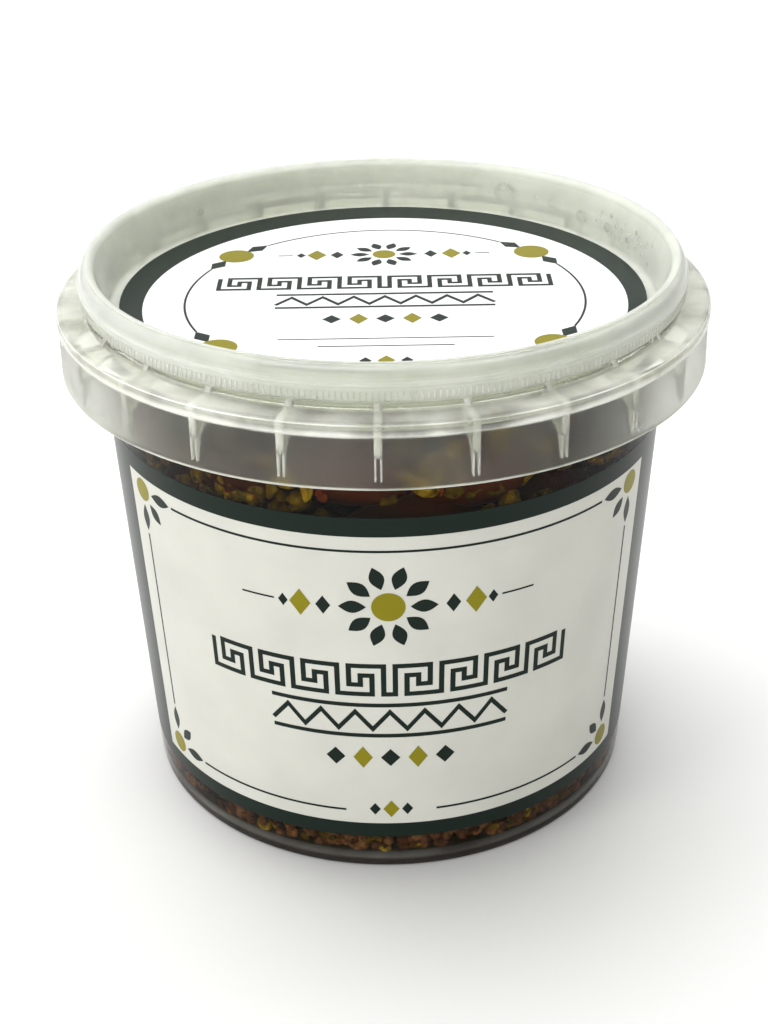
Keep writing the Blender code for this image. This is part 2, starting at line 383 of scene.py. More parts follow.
MORSEL_TONES: dict[Marinade, tuple[tuple[float, Colour], ...]] = {
    Marinade.GARLIC: (
        (0.15, (0.040, 0.028, 0.008)),
        (0.55, (0.145, 0.110, 0.014)),
        (0.9, (0.50, 0.41, 0.05)),
    ),
    Marinade.PULP: (
        (0.2, (0.040, 0.016, 0.012)),
        (0.5, (0.105, 0.048, 0.040)),
        (0.8, (0.23, 0.125, 0.105)),
    ),
    Marinade.CHILLI: (
        (0.2, (0.08, 0.012, 0.006)),
        (0.5, (0.20, 0.035, 0.014)),
        (0.8, (0.34, 0.10, 0.03)),
    ),
    Marinade.HERB: ((0.3, (0.02, 0.02, 0.004)), (0.8, (0.09, 0.08, 0.015))),
}
CORE_TONES = ((0.3, (0.014, 0.006, 0.004)), (0.8, (0.050, 0.018, 0.012)))


@dataclass(frozen=True)
class OilFinish:
    """Brown oil that tints what is seen through it, glossy on top and without gloss at the wall."""

    name: str = "marinade_oil"
    colour: Colour = (0.05, 0.02, 0.006)
    tint: Colour = (0.92, 0.84, 0.62)
    roughness: float = 0.12
    top_share: float = 0.25
    depth_colour: Colour = (0.78, 0.68, 0.15)
    depth_strength: float = 520.0

    def build(self) -> bpy.types.Material:
        """Return the oil."""
        made, nodes, shader, out = new_material(self.name)
        nodes.fill(shader, {"Base Color": (*self.colour, 1.0), "Roughness": self.roughness})
        clear = nodes.math("MULTIPLY_ADD", nodes.trait("skin"), -self.top_share, 1.0)
        depth = nodes.add("ShaderNodeVolumeAbsorption", {
            "Color": (*self.depth_colour, 1.0), "Density": self.depth_strength,
        })
        surface = nodes.blend(clear, shader.outputs[0], nodes.see_through(self.tint))
        nodes.fill(out, {"Surface": surface, "Volume": depth.outputs[0]})
        return made


# Making and placing pieces


def finish_mesh(mesh: bpy.types.Mesh, material: bpy.types.Material) -> bpy.types.Mesh:
    """Shade a mesh smooth but at its corners and give it a material."""
    mesh.materials.append(material)
    mesh.shade_smooth()
    mesh.set_sharp_from_angle(angle=SMOOTH_ANGLE)
    return mesh


def add_piece(
    name: str, mesh: bpy.types.Mesh, replaces: Sequence[str] = ()
) -> bpy.types.Object:
    """Put a finished mesh in the scene as a piece of the tub.

    Args:
        name: The piece's name.
        mesh: Its mesh, in the frame's coordinates.
        replaces: The CAD nodes that it stands for.

    Returns:
        The piece.
    """
    mesh.name = name
    piece = bpy.data.objects.new(name, mesh)
    bpy.context.scene.collection.objects.link(piece)
    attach(piece, "root")
    if replaces:
        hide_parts(*replaces)
    LOG.info("%s: %d faces", name, len(mesh.polygons))
    return piece


def store(mesh: bpy.types.Mesh, name: str, values: Sequence[float]) -> None:
    """Store a number for each of a mesh's points under a name."""
    mesh.attributes.new(name, "FLOAT", "POINT").data.foreach_set("value", values)


def faces_between(upper: Sequence[int], lower: Sequence[int], steps: int) -> list[tuple[int, ...]]:
    """Return the faces between two rings of points, either of which may be one point on the axis."""
    faces: list[tuple[int, ...]] = []
    for step in range(steps):
        after = (step + 1) % steps
        if len(upper) == 1:
            faces.append((upper[0], lower[step], lower[after]))
        elif len(lower) == 1:
            faces.append((upper[step], lower[0], upper[after]))
        else:
            faces.append((upper[step], lower[step], lower[after], upper[after]))
    return faces


def turned_mesh(
    name: str, outline: Sequence[Point2], material: bpy.types.Material, ring: bool = False,
    steps: int = TURN_STEPS, traits: dict[str, Callable[[float, float], float]] | None = None,
) -> bpy.types.Mesh:
    """Turn an outline about the Z axis into a closed mesh.

    Args:
        name: The mesh's name.
        outline: Radii and heights, going outwards over the top and down the outer side.
        material: The mesh's material.
        ring: True joins the last point to the first, and False starts and ends on the axis.
        steps: The number of faces round the axis.
        traits: Numbers to store at each point, worked out from its radius and height.

    Returns:
        The mesh.
    """
    points: list[tuple[float, float, float]] = []
    rings: list[list[int]] = []
    for radius, height in outline:
        count = steps if radius > 1e-7 else 1
        rings.append(list(range(len(points), len(points) + count)))
        for step in range(count):
            angle = math.tau * step / steps
            points.append((radius * math.cos(angle), radius * math.sin(angle), height))
    pairs = list(zip(rings, rings[1:]))
    if ring:
        pairs.append((rings[-1], rings[0]))
    faces = [face for upper, lower in pairs for face in faces_between(upper, lower, steps)]
    mesh = bpy.data.meshes.new(name)
    mesh.from_pydata(points, [], faces)
    for trait, rule in (traits or {}).items():
        store(mesh, trait, [rule(math.hypot(x, y), z) for x, y, z in points])
    return finish_mesh(mesh, material)


def arc(centre: Point2, radius: float, start: float, end: float, steps: int) -> list[Point2]:
    """Return points of an arc in an outline's plane, its angles in degrees from outwards."""
    points = []
    for step in range(steps + 1):
        angle = math.radians(start + (end - start) * step / steps)
        points.append((centre[0] + radius * math.cos(angle), centre[1] + radius * math.sin(angle)))
    return points


def run_tree(
    name: str, base: bpy.types.Mesh, tree: bpy.types.NodeTree, values: dict[str, Any]
) -> bpy.types.Mesh:
    """Run a geometry tree on a mesh.

    Args:
        name: The result's name.
        base: The mesh that the tree starts from.
        tree: The geometry tree.
        values: Its inputs, by name.

    Returns:
        The result as a plain mesh.
    """
    worker = bpy.data.objects.new(name + "_base", base)
    bpy.context.scene.collection.objects.link(worker)
    modifier = worker.modifiers.new("tree", "NODES")
    modifier.node_group = tree
    for item in tree.interface.items_tree:
        if item.item_type == "SOCKET" and item.in_out == "INPUT" and item.name in values:
            modifier[item.identifier] = values[item.name]
    worker.update_tag()
    bpy.context.view_layer.update()
    graph = bpy.context.evaluated_depsgraph_get()
    mesh = bpy.data.meshes.new_from_object(worker.evaluated_get(graph))
    worker.modifiers.clear()
    bpy.data.objects.remove(worker)
    mesh.name = name
    return mesh


def new_tree(name: str, inputs: Sequence[tuple[str, str]]) -> tuple[Nodes, bpy.types.Node]:
    """Start a geometry tree.

    Args:
        name: The tree's name.
        inputs: The name and socket type of each input after the geometry.

    Returns:
        The tree's nodes and its input node.
    """
    tree = bpy.data.node_groups.new(name, "GeometryNodeTree")
    tree.interface.new_socket("Geometry", in_out="INPUT", socket_type="NodeSocketGeometry")
    for label, kind in inputs:
        tree.interface.new_socket(label, in_out="INPUT", socket_type=kind)
    tree.interface.new_socket("Geometry", in_out="OUTPUT", socket_type="NodeSocketGeometry")
    nodes = Nodes(tree)
    return nodes, nodes.add("NodeGroupInput")


def end_tree(nodes: Nodes, instances: bpy.types.NodeSocket, finish: bpy.types.NodeSocket) -> None:
    """End a tree: smooth shading and the material, on real geometry."""
    smooth = nodes.add("GeometryNodeSetShadeSmooth", {"Geometry": instances})
    dressed = nodes.add("GeometryNodeSetMaterial", {"Geometry": smooth.outputs[0], "Material": finish})
    nodes.add("NodeGroupOutput", {0: dressed.outputs[0]})


def ring_tree() -> bpy.types.NodeTree:
    """Return the tree that repeats its mesh round the Z axis.

    Returns:
        A tree with the inputs Count, Start (an angle) and Finish.
    """
    nodes, given = new_tree("ring_of_copies", (
        ("Count", "NodeSocketInt"), ("Start", "NodeSocketFloat"), ("Finish", "NodeSocketMaterial"),
    ))
    points = nodes.add("GeometryNodePoints", {"Count": given.outputs["Count"]})
    index = nodes.add("GeometryNodeInputIndex")
    step = nodes.math("DIVIDE", math.tau, given.outputs["Count"])
    turn = nodes.math("MULTIPLY_ADD", index.outputs[0], step, given.outputs["Start"])
    spin = nodes.add("ShaderNodeCombineXYZ", {"Z": turn})
    copies = nodes.add("GeometryNodeInstanceOnPoints", {
        "Points": points.outputs[0], "Instance": given.outputs["Geometry"], "Rotation": spin.outputs[0],
    })
    real = nodes.add("GeometryNodeRealizeInstances", {0: copies.outputs[0]})
    end_tree(nodes, real.outputs[0], given.outputs["Finish"])
    return nodes.tree


def scatter_tree() -> bpy.types.NodeTree:
    """Return the tree that scatters uneven lumps over a surface inside the wall.

    Returns:
        A tree with the inputs Density, Smallest, Largest, Unevenness, Lean, Sides, Margin,
        Seed and Finish.
    """
    nodes, given = new_tree("scattered_lumps", (
        ("Density", "NodeSocketFloat"), ("Smallest", "NodeSocketVector"),
        ("Largest", "NodeSocketVector"), ("Unevenness", "NodeSocketFloat"),
        ("Lean", "NodeSocketVector"), ("Sides", "NodeSocketInt"), ("Margin", "NodeSocketFloat"),
        ("Seed", "NodeSocketInt"), ("Finish", "NodeSocketMaterial"),
    ))
    seed = given.outputs["Seed"]
    crowd = nodes.add("GeometryNodeInputNamedAttribute", {"Name": "crowd"}, data_type="FLOAT")
    here = nodes.add("GeometryNodeInputPosition")
    drift = nodes.add("ShaderNodeTexNoise", {"Vector": here.outputs[0], "Scale": 110.0, "Detail": 1.0})
    patchy = nodes.map_range(drift.outputs["Fac"], (0.44, 0.57), (0.12, 1.8))
    share = nodes.math("MULTIPLY", crowd.outputs[0], patchy)
    density = nodes.math("MULTIPLY", share, given.outputs["Density"])
    points = nodes.add("GeometryNodeDistributePointsOnFaces", {
        "Mesh": given.outputs["Geometry"], "Density": density, "Seed": seed,
    })
    ball = nodes.add("GeometryNodeMeshIcoSphere", {
        "Radius": 1.0, "Subdivisions": given.outputs["Sides"],
    })
    size = nodes.add("FunctionNodeRandomValue", {
        0: given.outputs["Smallest"], 1: given.outputs["Largest"], "Seed": nodes.math("ADD", seed, 1),
    }, data_type="FLOAT_VECTOR")
    other_way = nodes.add("ShaderNodeVectorMath", {0: given.outputs["Lean"], "Scale": -1.0},
                          operation="SCALE")
    lean = nodes.add("FunctionNodeRandomValue", {
        0: other_way.outputs[0], 1: given.outputs["Lean"], "Seed": nodes.math("ADD", seed, 2),
    }, data_type="FLOAT_VECTOR")
    copies = nodes.add("GeometryNodeInstanceOnPoints", {
        "Points": points.outputs["Points"], "Instance": ball.outputs["Mesh"],
        "Rotation": points.outputs["Rotation"], "Scale": size.outputs[0],
    })
    leaned = nodes.add("GeometryNodeRotateInstances", {
        "Instances": copies.outputs[0], "Rotation": lean.outputs[0],
    })
    tone = nodes.add("FunctionNodeRandomValue", {2: 0.0, 3: 1.0, "Seed": nodes.math("ADD", seed, 3)},
                     data_type="FLOAT")
    toned = nodes.add("GeometryNodeStoreNamedAttribute", {
        "Geometry": leaned.outputs[0], "Name": "tone", "Value": tone.outputs[1],
    }, data_type="FLOAT", domain="INSTANCE")
    real = nodes.add("GeometryNodeRealizeInstances", {0: toned.outputs[0]})
    place = nodes.add("GeometryNodeInputPosition")
    lumps = nodes.add("ShaderNodeTexNoise", {
        "Vector": place.outputs[0], "Scale": 520.0, "Detail": 2.5,
    })
    centred = nodes.add("ShaderNodeVectorMath", {0: lumps.outputs["Color"], 1: (0.5, 0.5, 0.5)},
                        operation="SUBTRACT")
    shove = nodes.add("ShaderNodeVectorMath", {
        0: centred.outputs[0], "Scale": given.outputs["Unevenness"],
    }, operation="SCALE")
    uneven = nodes.add("GeometryNodeSetPosition", {
        "Geometry": real.outputs[0], "Offset": shove.outputs[0],
    })
    pressed = press_inside(nodes, uneven.outputs[0], given.outputs["Margin"])
    end_tree(nodes, pressed, given.outputs["Finish"])
    return nodes.tree


def press_inside(
    nodes: Nodes, geometry: bpy.types.NodeSocket, margin: bpy.types.NodeSocket
) -> bpy.types.NodeSocket:
    """Flatten geometry against the inside of the wall and the floor.

    Args:
        nodes: The tree's nodes.
        geometry: The geometry to flatten.
        margin: The least distance that it keeps to the wall's inner face.

    Returns:
        The flattened geometry.
    """
    place = nodes.add("GeometryNodeInputPosition")
    parts = nodes.add("ShaderNodeSeparateXYZ", {0: place.outputs[0]})
    flat = nodes.add("ShaderNodeCombineXYZ", {"X": parts.outputs[0], "Y": parts.outputs[1]})
    length = nodes.add("ShaderNodeVectorMath", {0: flat.outputs[0]}, operation="LENGTH")
    wall = nodes.math("MULTIPLY_ADD", parts.outputs[2], WALL.slope, WALL.foot_radius - WALL.thickness)
    limit = nodes.math("SUBTRACT", wall, margin)
    share = nodes.math("MINIMUM", nodes.math("DIVIDE", limit, length.outputs["Value"]), 1.0)
    new_x = nodes.math("MULTIPLY", parts.outputs[0], share)
    new_y = nodes.math("MULTIPLY", parts.outputs[1], share)
    new_z = nodes.math("MAXIMUM", parts.outputs[2], TUB_FLOOR + 0.0001)
    moved = nodes.add("ShaderNodeCombineXYZ", {"X": new_x, "Y": new_y, "Z": new_z})
    placed = nodes.add("GeometryNodeSetPosition", {"Geometry": geometry, "Position": moved.outputs[0]})
    return placed.outputs[0]


# Tub and lid


def add_plate(
    shape: bmesh.types.BMesh, outline: Sequence[Point2], low: float, high: float,
    trait: Any, values: tuple[float, float], inset: float = 0.00022,
) -> None:
    """Add a flat plate in the XZ plane to a mesh, with a number stored at its rim and inside it.

    Args:
        shape: The mesh.
        outline: The plate's corners, as radii and heights.
        low: Its near side, along Y.
        high: Its far side, along Y.
        trait: The layer that the number goes in.
        values: The number at the rim, and inside it.
        inset: How far the inner corners lie from the rim.
    """
    middle = Vector((sum(r for r, _ in outline), sum(z for _, z in outline))) / len(outline)
    rims = []
    for y in (low, high):
        rim = [shape.verts.new((r, y, z)) for r, z in outline]
        inner = []
        for vert in rim:
            vert[trait] = values[0]
            inward = Vector((middle.x - vert.co.x, middle.y - vert.co.z))
            step = inward.normalized() * min(inset, inward.length * 0.4)
            inner.append(shape.verts.new((vert.co.x + step.x, y, vert.co.z + step.y)))
            inner[-1][trait] = values[1]
        shape.faces.new(inner)
        rims.append(rim)
        for i, start in enumerate(rim):
            after = (i + 1) % len(rim)
            shape.faces.new((start, rim[after], inner[after], inner[i]))
    for i, start in enumerate(rims[0]):
        after = (i + 1) % len(outline)
        shape.faces.new((start, rims[0][after], rims[1][after], rims[1][i]))


def plates_mesh(name: str, shape: bmesh.types.BMesh) -> bpy.types.Mesh:
    """Return a mesh of plates with their faces outward, and free them."""
    bmesh.ops.recalc_face_normals(shape, faces=shape.faces[:])
    mesh = bpy.data.meshes.new(name)
    shape.to_mesh(mesh)
    shape.free()
    return mesh


@dataclass
class Tub:
    """The clear tub: wall, recessed floor, flange, tamper skirt and gussets in one moulding."""

    finish: bpy.types.Material
    wall_finish: bpy.types.Material
    wetted: bpy.types.Material
    lip_radius: float = field(default_factory=lambda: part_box("tub")[1].x)
    rim_top: float = field(default_factory=lambda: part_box("tub")[1].z)
    floor_under: float = 0.0014
    floor_top: float = TUB_FLOOR
    floor_round: float = 0.0010
    skirt_radius: float = 0.0509
    skirt_top_radius: float = 0.0507
    skirt_bottom: float = 0.0734
    skirt_thickness: float = 0.0007
    lip_bottom: float = 0.0813
    flange_top: float = 0.0832
    flange_under: float = 0.0820
    rim_foot: float = 0.0809
    rim_inner: float = 0.0456
    rim_outer: float = 0.0463
    fillet: float = 0.0008
    oil_level: float = 0.0778
    lip_round: float = 0.0008
    hem_round: float = 0.00035
    corner_round: float = 0.0009
    foot_round: float = 0.0006
    ring_inner: float = 0.0396
    rim_haze: float = 0.30
    ledge_haze: float = 0.26
    # Painted highlight: a thin near-white milky band on the lip's rounding stands in for a highlight
    # line.
    lip_painted_highlight: float = 0.95
    lip_haze: float = 0.20
    # Painted glow: the lip's outer side is near-white milky to stand in for light carried inside the
    # flange.
    lip_side_painted_glow: float = 0.80
    hem_haze: float = 0.98
    skirt_haze: float = 0.022
    foot_haze: float = 0.03
    wall_haze: float = 0.002
    gusset_count: int = 24
    gusset_start: float = math.radians(-1.2)
    gusset_half: float = 0.00054
    prong_near: float = 0.00026
    prong_far: float = 0.00052
    web_haze: tuple[float, float] = (0.68, 0.18)
    prong_haze: tuple[float, float] = (0.9, 0.5)
    gusset_frost: float = 0.1

    def outline(self) -> list[Point2]:
        """Return the moulding's outline, from the middle of its floor over its rim to its underside."""
        corner = self.floor_round
        inner_foot = WALL.inner(self.floor_top)
        points: list[Point2] = [(0.0, self.floor_top)]
        points += arc((inner_foot - corner, self.floor_top + corner), corner, -90, 0, 6)
        points += [(WALL.inner(z), z) for z in (0.02, 0.045, 0.066, self.oil_level, self.rim_foot)]
        rim_mid = (self.rim_inner + self.rim_outer) / 2
        half = (self.rim_outer - self.rim_inner) / 2
        points += arc((rim_mid, self.rim_top - half), half, 180, 0, 8)
        fillet = self.fillet
        points += [(self.rim_outer, self.flange_top + fillet + 0.0003)]
        points += arc((self.rim_outer + fillet, self.flange_top + fillet), fillet, 180, 270, 6)
        points += [(self.lip_radius - 0.0012, self.flange_top)]
        lip = self.lip_round
        points += arc((self.lip_radius - lip, self.flange_top - lip), lip, 90, 0, 8)
        points += arc((self.lip_radius - 0.0002, self.lip_bottom + 0.0003), 0.0002, 0, -70, 3)
        bottom = self.skirt_bottom
        lean = (self.skirt_radius - self.skirt_top_radius) / (self.lip_bottom - bottom)
        for z in (self.lip_bottom, self.lip_bottom - 0.0003, 0.0790, 0.0770, 0.0750, bottom + 0.0005):
            points.append((self.skirt_radius - lean * (z - bottom), z))
        hem = self.hem_round
        points += arc((self.skirt_radius - hem, bottom + hem), hem, 0, -180, 10)
        inner_top = self.skirt_top_radius - self.skirt_thickness
        points += [(self.skirt_radius - self.skirt_thickness - 0.00002 * i, bottom + 0.0008 + 0.0014 * i)
                   for i in range(4)]
        inside = self.corner_round
        points += arc((inner_top - inside, self.flange_under - inside), inside, 0, 90, 5)
        points += [(self.rim_outer + inside, self.flange_under)]
        points += [(self.rim_outer - 0.0005, self.flange_under + 0.0008)]
        points += [(WALL.outer(z), z) for z in (self.flange_under + 0.0008, 0.066, 0.045, 0.02)]
        points += [(WALL.outer(z), z) for z in (0.0060, 0.0036, 0.0026, 0.0020, 0.0014)]
        foot = self.foot_round
        points += arc((WALL.outer(0.0) - foot, foot), foot, 0, -90, 5)
        points += [(self.ring_inner + 0.0004, 0.0), (self.ring_inner, 0.0003)]
        points += arc((self.ring_inner - 0.0008, self.floor_under - 0.0008), 0.0008, 0, 90, 5)
        points += [(0.0, self.floor_under)]
        return points

    def haze(self, radius: float, height: float) -> float:
        """Return how milky the moulding is at a point of its outline, with a painted highlight line and
        a painted glow at the lip.
        """
        if height > self.flange_top + self.fillet + 0.0001:
            return self.rim_haze
        if radius > self.rim_outer + 0.0002 and height > self.flange_under:
            if radius < self.lip_radius - 0.0010:
                return self.ledge_haze
            drop = self.flange_top - height
            # The thin band just below the lip's top is a painted highlight line.
            return self.lip_painted_highlight if 0.00018 < drop < 0.00030 else self.lip_haze
        if radius > self.rim_outer + 0.0012:
            if height > self.lip_bottom - 0.0001 and radius > self.skirt_top_radius - 0.0003:
                # The lip's outer side gets the painted glow of light carried inside the flange.
                return self.lip_side_painted_glow
            return self.hem_haze if height < self.skirt_bottom + 0.0002 else self.skirt_haze
        return self.foot_haze if height < self.floor_top + 0.0003 else self.wall_haze

    def frost(self, radius: float, height: float) -> float:
        """Return how much the moulding blurs what is behind it, at a point of its outline."""
        if height > self.lip_bottom:
            return 0.08
        return 0.30 if radius > self.rim_outer + 0.0002 else 0.02

    def foot_shade(self, radius: float, height: float) -> float:
        """Return how much a point of the outline takes the painted shade at the foot, standing in for
        the shadow under the tub and the dark contents seen through it.
        """
        return 1.0 if height < self.floor_under + 0.0003 else 0.0

    def part_finishes(self, mesh: bpy.types.Mesh) -> None:
        """Give the wall its own finish, and its inner faces below the oil's level the wetted one."""
        mesh.materials.append(self.wall_finish)
        mesh.materials.append(self.wetted)
        for face in mesh.polygons:
            middle = face.center
            inside = middle.xy.length < WALL.outer(middle.z) - WALL.thickness * 0.5
            if inside and self.floor_top - 0.0001 < middle.z < self.oil_level:
                face.material_index = 2
            elif middle.z < self.oil_level and middle.xy.length < WALL.outer(middle.z) + 0.0002:
                face.material_index = 1

    def gusset(self) -> bpy.types.Mesh:
        """Return one gusset on the +X side: a thin web that ends in two prongs on the skirt."""
        low = self.skirt_bottom + 0.0012
        fork = self.skirt_bottom + 0.0047
        face = self.skirt_top_radius - self.skirt_thickness
        hidden = self.flange_top - 0.0004
        web = [
            (face + 0.0004, hidden),
            (self.rim_outer + self.fillet, hidden),
            (self.rim_outer - 0.0001, self.flange_top + self.fillet),
            (self.rim_inner - 0.0002, self.flange_top + self.fillet),
            (WALL.outer(self.rim_foot) + 0.0002, self.flange_under - 0.0014),
            (face - 0.0030, self.flange_under - 0.0021),
            (face - 0.0016, fork + 0.0008),
            (face - 0.0008, fork),
            (face + 0.0004, fork),
        ]
        prong = [(face + 0.0004, fork + 0.0003), (face - 0.0009, fork + 0.0003), (face - 0.0001, low),
                 (face + 0.0004, low)]
        shape = bmesh.new()
        haze = shape.verts.layers.float.new("haze")
        add_plate(shape, web, -self.gusset_half, self.gusset_half, haze, self.web_haze)
        for side in (-1, 1):
            low_y, high_y = sorted((side * self.prong_near, side * self.prong_far))
            add_plate(shape, prong, low_y, high_y, haze, self.prong_haze)
        mesh = plates_mesh("gusset", shape)
        store(mesh, "frost", [self.gusset_frost] * len(mesh.vertices))
        return mesh

    def build(self, repeat: bpy.types.NodeTree) -> None:
        """Make the moulding and its ring of gussets."""
        traits = {"haze": self.haze, "frost": self.frost, "foot_shade": self.foot_shade}
        shell = turned_mesh("tub_shell", self.outline(), self.finish, traits=traits)
        self.part_finishes(shell)
        add_piece("tub_shell", shell, ["tub"])
        ribs = run_tree("skirt_gussets", self.gusset(), repeat, {
            "Count": self.gusset_count, "Start": self.gusset_start, "Finish": self.finish,
        })
        add_piece("skirt_gussets", ribs, ["tub"])


@dataclass
class Lid:
    """The press-on lid with a sunken panel, a rounded rim and a finely ticked lower edge."""

    finish: bpy.types.Material
    tick_finish: bpy.types.Material
    water: bpy.types.Material
    top: float = field(default_factory=lambda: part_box("lid")[1].z)
    panel_under: float = field(default_factory=lambda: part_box("lid")[0].z)
    skirt_radius: float = field(default_factory=lambda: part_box("lid")[1].x)
    panel_top: float = 0.0816
    recess_radius: float = 0.0431
    skirt_bottom: float = 0.0848
    tick_count: int = 360
    tick_height: float = 0.0015
    drops: tuple[tuple[float, float, float], ...] = (
        (150.0, 0.0854, 0.0021), (141.5, 0.0856, 0.0007), (137.0, 0.0853, 0.0010),
        (128.0, 0.0846, 0.0013), (119.0, 0.0845, 0.0010), (160.0, 0.0862, 0.0005),
        (171.0, 0.0860, 0.0004), (226.0, 0.0853, 0.0009),
    )
    panel_haze: float = 0.34
    recess_haze: float = 0.42
    crest_haze: float = 0.34
    outer_haze: float = 0.46
    wet_heights: Point2 = (0.0832, 0.0868)
    wet_azimuths: tuple[int, int] = (98, 236)
    thickly_wet_below: int = 120
    bead_density: float = 240000.0
    smallest_bead: tuple[float, float, float] = (0.00016, 0.00016, 0.0001)
    largest_bead: tuple[float, float, float] = (0.0006, 0.0006, 0.00034)

    def haze(self, radius: float, height: float) -> float:
        """Return how milky the lid is at a point of its outline."""
        if height < self.panel_top + 0.0015:
            return self.panel_haze
        if radius < self.recess_radius + 0.0014:
            return self.recess_haze
        return self.crest_haze if height > self.top - 0.0020 else self.outer_haze

    def frost(self, radius: float, height: float) -> float:
        """Return how much the lid blurs what is behind it, at a point of its outline."""
        return 0.14 if radius > self.recess_radius + 0.0014 else 0.08

    def outline(self) -> list[Point2]:
        """Return the lid's outline, from the middle of its panel over its rim to its underside."""
        points: list[Point2] = [(0.0, self.panel_top)]
        foot = self.recess_radius
        points += arc((foot - 0.0008, self.panel_top + 0.0008), 0.0008, -90, 0, 5)
        points += [(foot + 0.0013, self.top - 0.0014)]
        points += arc((foot + 0.0026, self.top - 0.0012), 0.0012, 175, 80, 8)
        points += arc((self.skirt_radius - 0.0023, self.top - 0.0021), 0.0019, 66, 12, 6)
        bead = self.skirt_bottom + 0.0024
        points += arc((self.skirt_radius - 0.00035, bead), 0.00032, 75, -75, 6)
        tick = self.skirt_bottom + self.tick_height
        edge = self.skirt_radius
        points += [(edge - 0.0002, tick + 0.0002), (edge - 0.0003, tick)]
        points += [(edge - 0.0003, self.skirt_bottom), (edge - 0.0006, self.skirt_bottom)]
        points += [(0.0466, 0.0882), (0.0463, 0.0889)]
        points += [(0.0456, 0.0889), (0.0453, 0.0884)]
        points += [(foot + 0.0007, self.panel_top)]
        points += arc((foot - 0.0002, self.panel_under + 0.0008), 0.0008, 0, -90, 4)
        points += [(0.0, self.panel_under)]
        return points

    def tick(self) -> bpy.types.Mesh:
        """Return one raised tick of the lid's lower edge, on the +X side."""
        low, high = self.skirt_bottom + 0.0001, self.skirt_bottom + self.tick_height
        outer = self.skirt_radius
        shape = bmesh.new()
        haze = shape.verts.layers.float.new("haze")
        outline = [(outer - 0.0005, low), (outer - 0.0005, high), (outer - 0.00018, high - 0.0003),
                   (outer - 0.00018, low)]
        add_plate(shape, outline, -0.00012, 0.00012, haze, (0.5, 0.5), inset=0.0001)
        return plates_mesh("tick", shape)

    def build(self, repeat: bpy.types.NodeTree, scatter: bpy.types.NodeTree) -> None:
        """Make the lid, the ticks round its edge and the water on it."""
        traits = {"haze": self.haze, "frost": self.frost}
        shell = turned_mesh("lid_shell", self.outline(), self.finish, traits=traits)
        add_piece("lid_shell", shell, ["lid"])
        ticks = run_tree("lid_ticks", self.tick(), repeat, {
            "Count": self.tick_count, "Start": 0.0, "Finish": self.tick_finish,
        })
        add_piece("lid_ticks", ticks, ["lid"])
        self.wet(scatter)

    def on_recess(self, azimuth: float, height: float) -> Vector:
        """Return the point on the recess wall at an azimuth in degrees from the front."""
        turn = math.radians(azimuth)
        radius = self.recess_radius + (height - self.panel_top - 0.0008) * 0.2167
        return Vector((radius * math.sin(turn), -radius * math.cos(turn), height))

    def wet(self, scatter: bpy.types.NodeTree) -> None:
        """Put water on the recess wall: a scatter of fine beads at the back and a few larger drops."""
        first, last = self.wet_azimuths
        steps = 46
        angles = [first + (last - first) * step / steps for step in range(steps + 1)]
        points = [self.on_recess(angle, height) for height in self.wet_heights for angle in angles]
        count = len(angles)
        faces = [(i, i + count, i + count + 1, i + 1) for i in range(steps)]
        strip = bpy.data.meshes.new("wet_strip")
        strip.from_pydata(points, [], faces)
        crowd = [1.6 if angle < self.thickly_wet_below else 0.16 for angle in angles]
        store(strip, "crowd", crowd + crowd)
        beads = run_tree("water_beads", strip, scatter, {
            "Density": self.bead_density, "Smallest": self.smallest_bead, "Largest": self.largest_bead,
            "Unevenness": 0.0, "Lean": (0.0, 0.0, 3.1), "Sides": 2, "Margin": 0.0, "Seed": 71,
            "Finish": self.water,
        })
        add_piece("water_beads", beads)
        shape = bmesh.new()
        for azimuth, height, size in self.drops:
            place = Matrix.Translation(self.on_recess(azimuth, height))
            spin = Matrix.Rotation(math.radians(azimuth), 4, "Z")
            flat = Matrix.Diagonal((size, size * 0.34, size * 0.86, 1.0))
            matrix = place @ spin @ flat
            bmesh.ops.create_uvsphere(shape, u_segments=24, v_segments=16, radius=1.0, matrix=matrix)
        drops = bpy.data.meshes.new("water_drops")
        shape.to_mesh(drops)
        shape.free()
        add_piece("water_drops", finish_mesh(drops, self.water))


# Flat shapes for the print, in millimetres


def box_shape(left: float, low: float, right: float, high: float) -> list[Point2]:
    """Return a rectangle's corners."""
    return [(left, low), (right, low), (right, high), (left, high)]


def lozenge(x: float, y: float, width: float, height: float) -> list[Point2]:
    """Return a diamond's corners about its middle."""
    return [(x - width / 2, y), (x, y - height / 2), (x + width / 2, y), (x, y + height / 2)]


def disc(x: float, y: float, radius: float, steps: int = 40) -> list[Point2]:
    """Return the corners of a disc."""
    turns = [math.tau * step / steps for step in range(steps)]
    return [(x + radius * math.cos(turn), y + radius * math.sin(turn)) for turn in turns]


def petal(x: float, y: float, turn: float, near: float, far: float, width: float) -> list[Point2]:
    """Return a pointed petal that leaves a centre at an angle.

    Args:
        x: The centre's place across.
        y: The centre's place up.
        turn: The petal's angle.
        near: Where it starts, from the centre.
        far: Where it ends.
        width: Its greatest width.

    Returns:
        The petal's corners.
    """
    side = []
    steps = 8
    for step in range(steps + 1):
        share = step / steps
        side.append((near + (far - near) * share, width / 2 * math.sin(math.pi * share)))
    outline = side + [(along, -across) for along, across in reversed(side[1:-1])]
    cos, sin = math.cos(turn), math.sin(turn)
    return [(x + a * cos - b * sin, y + a * sin + b * cos) for a, b in outline]


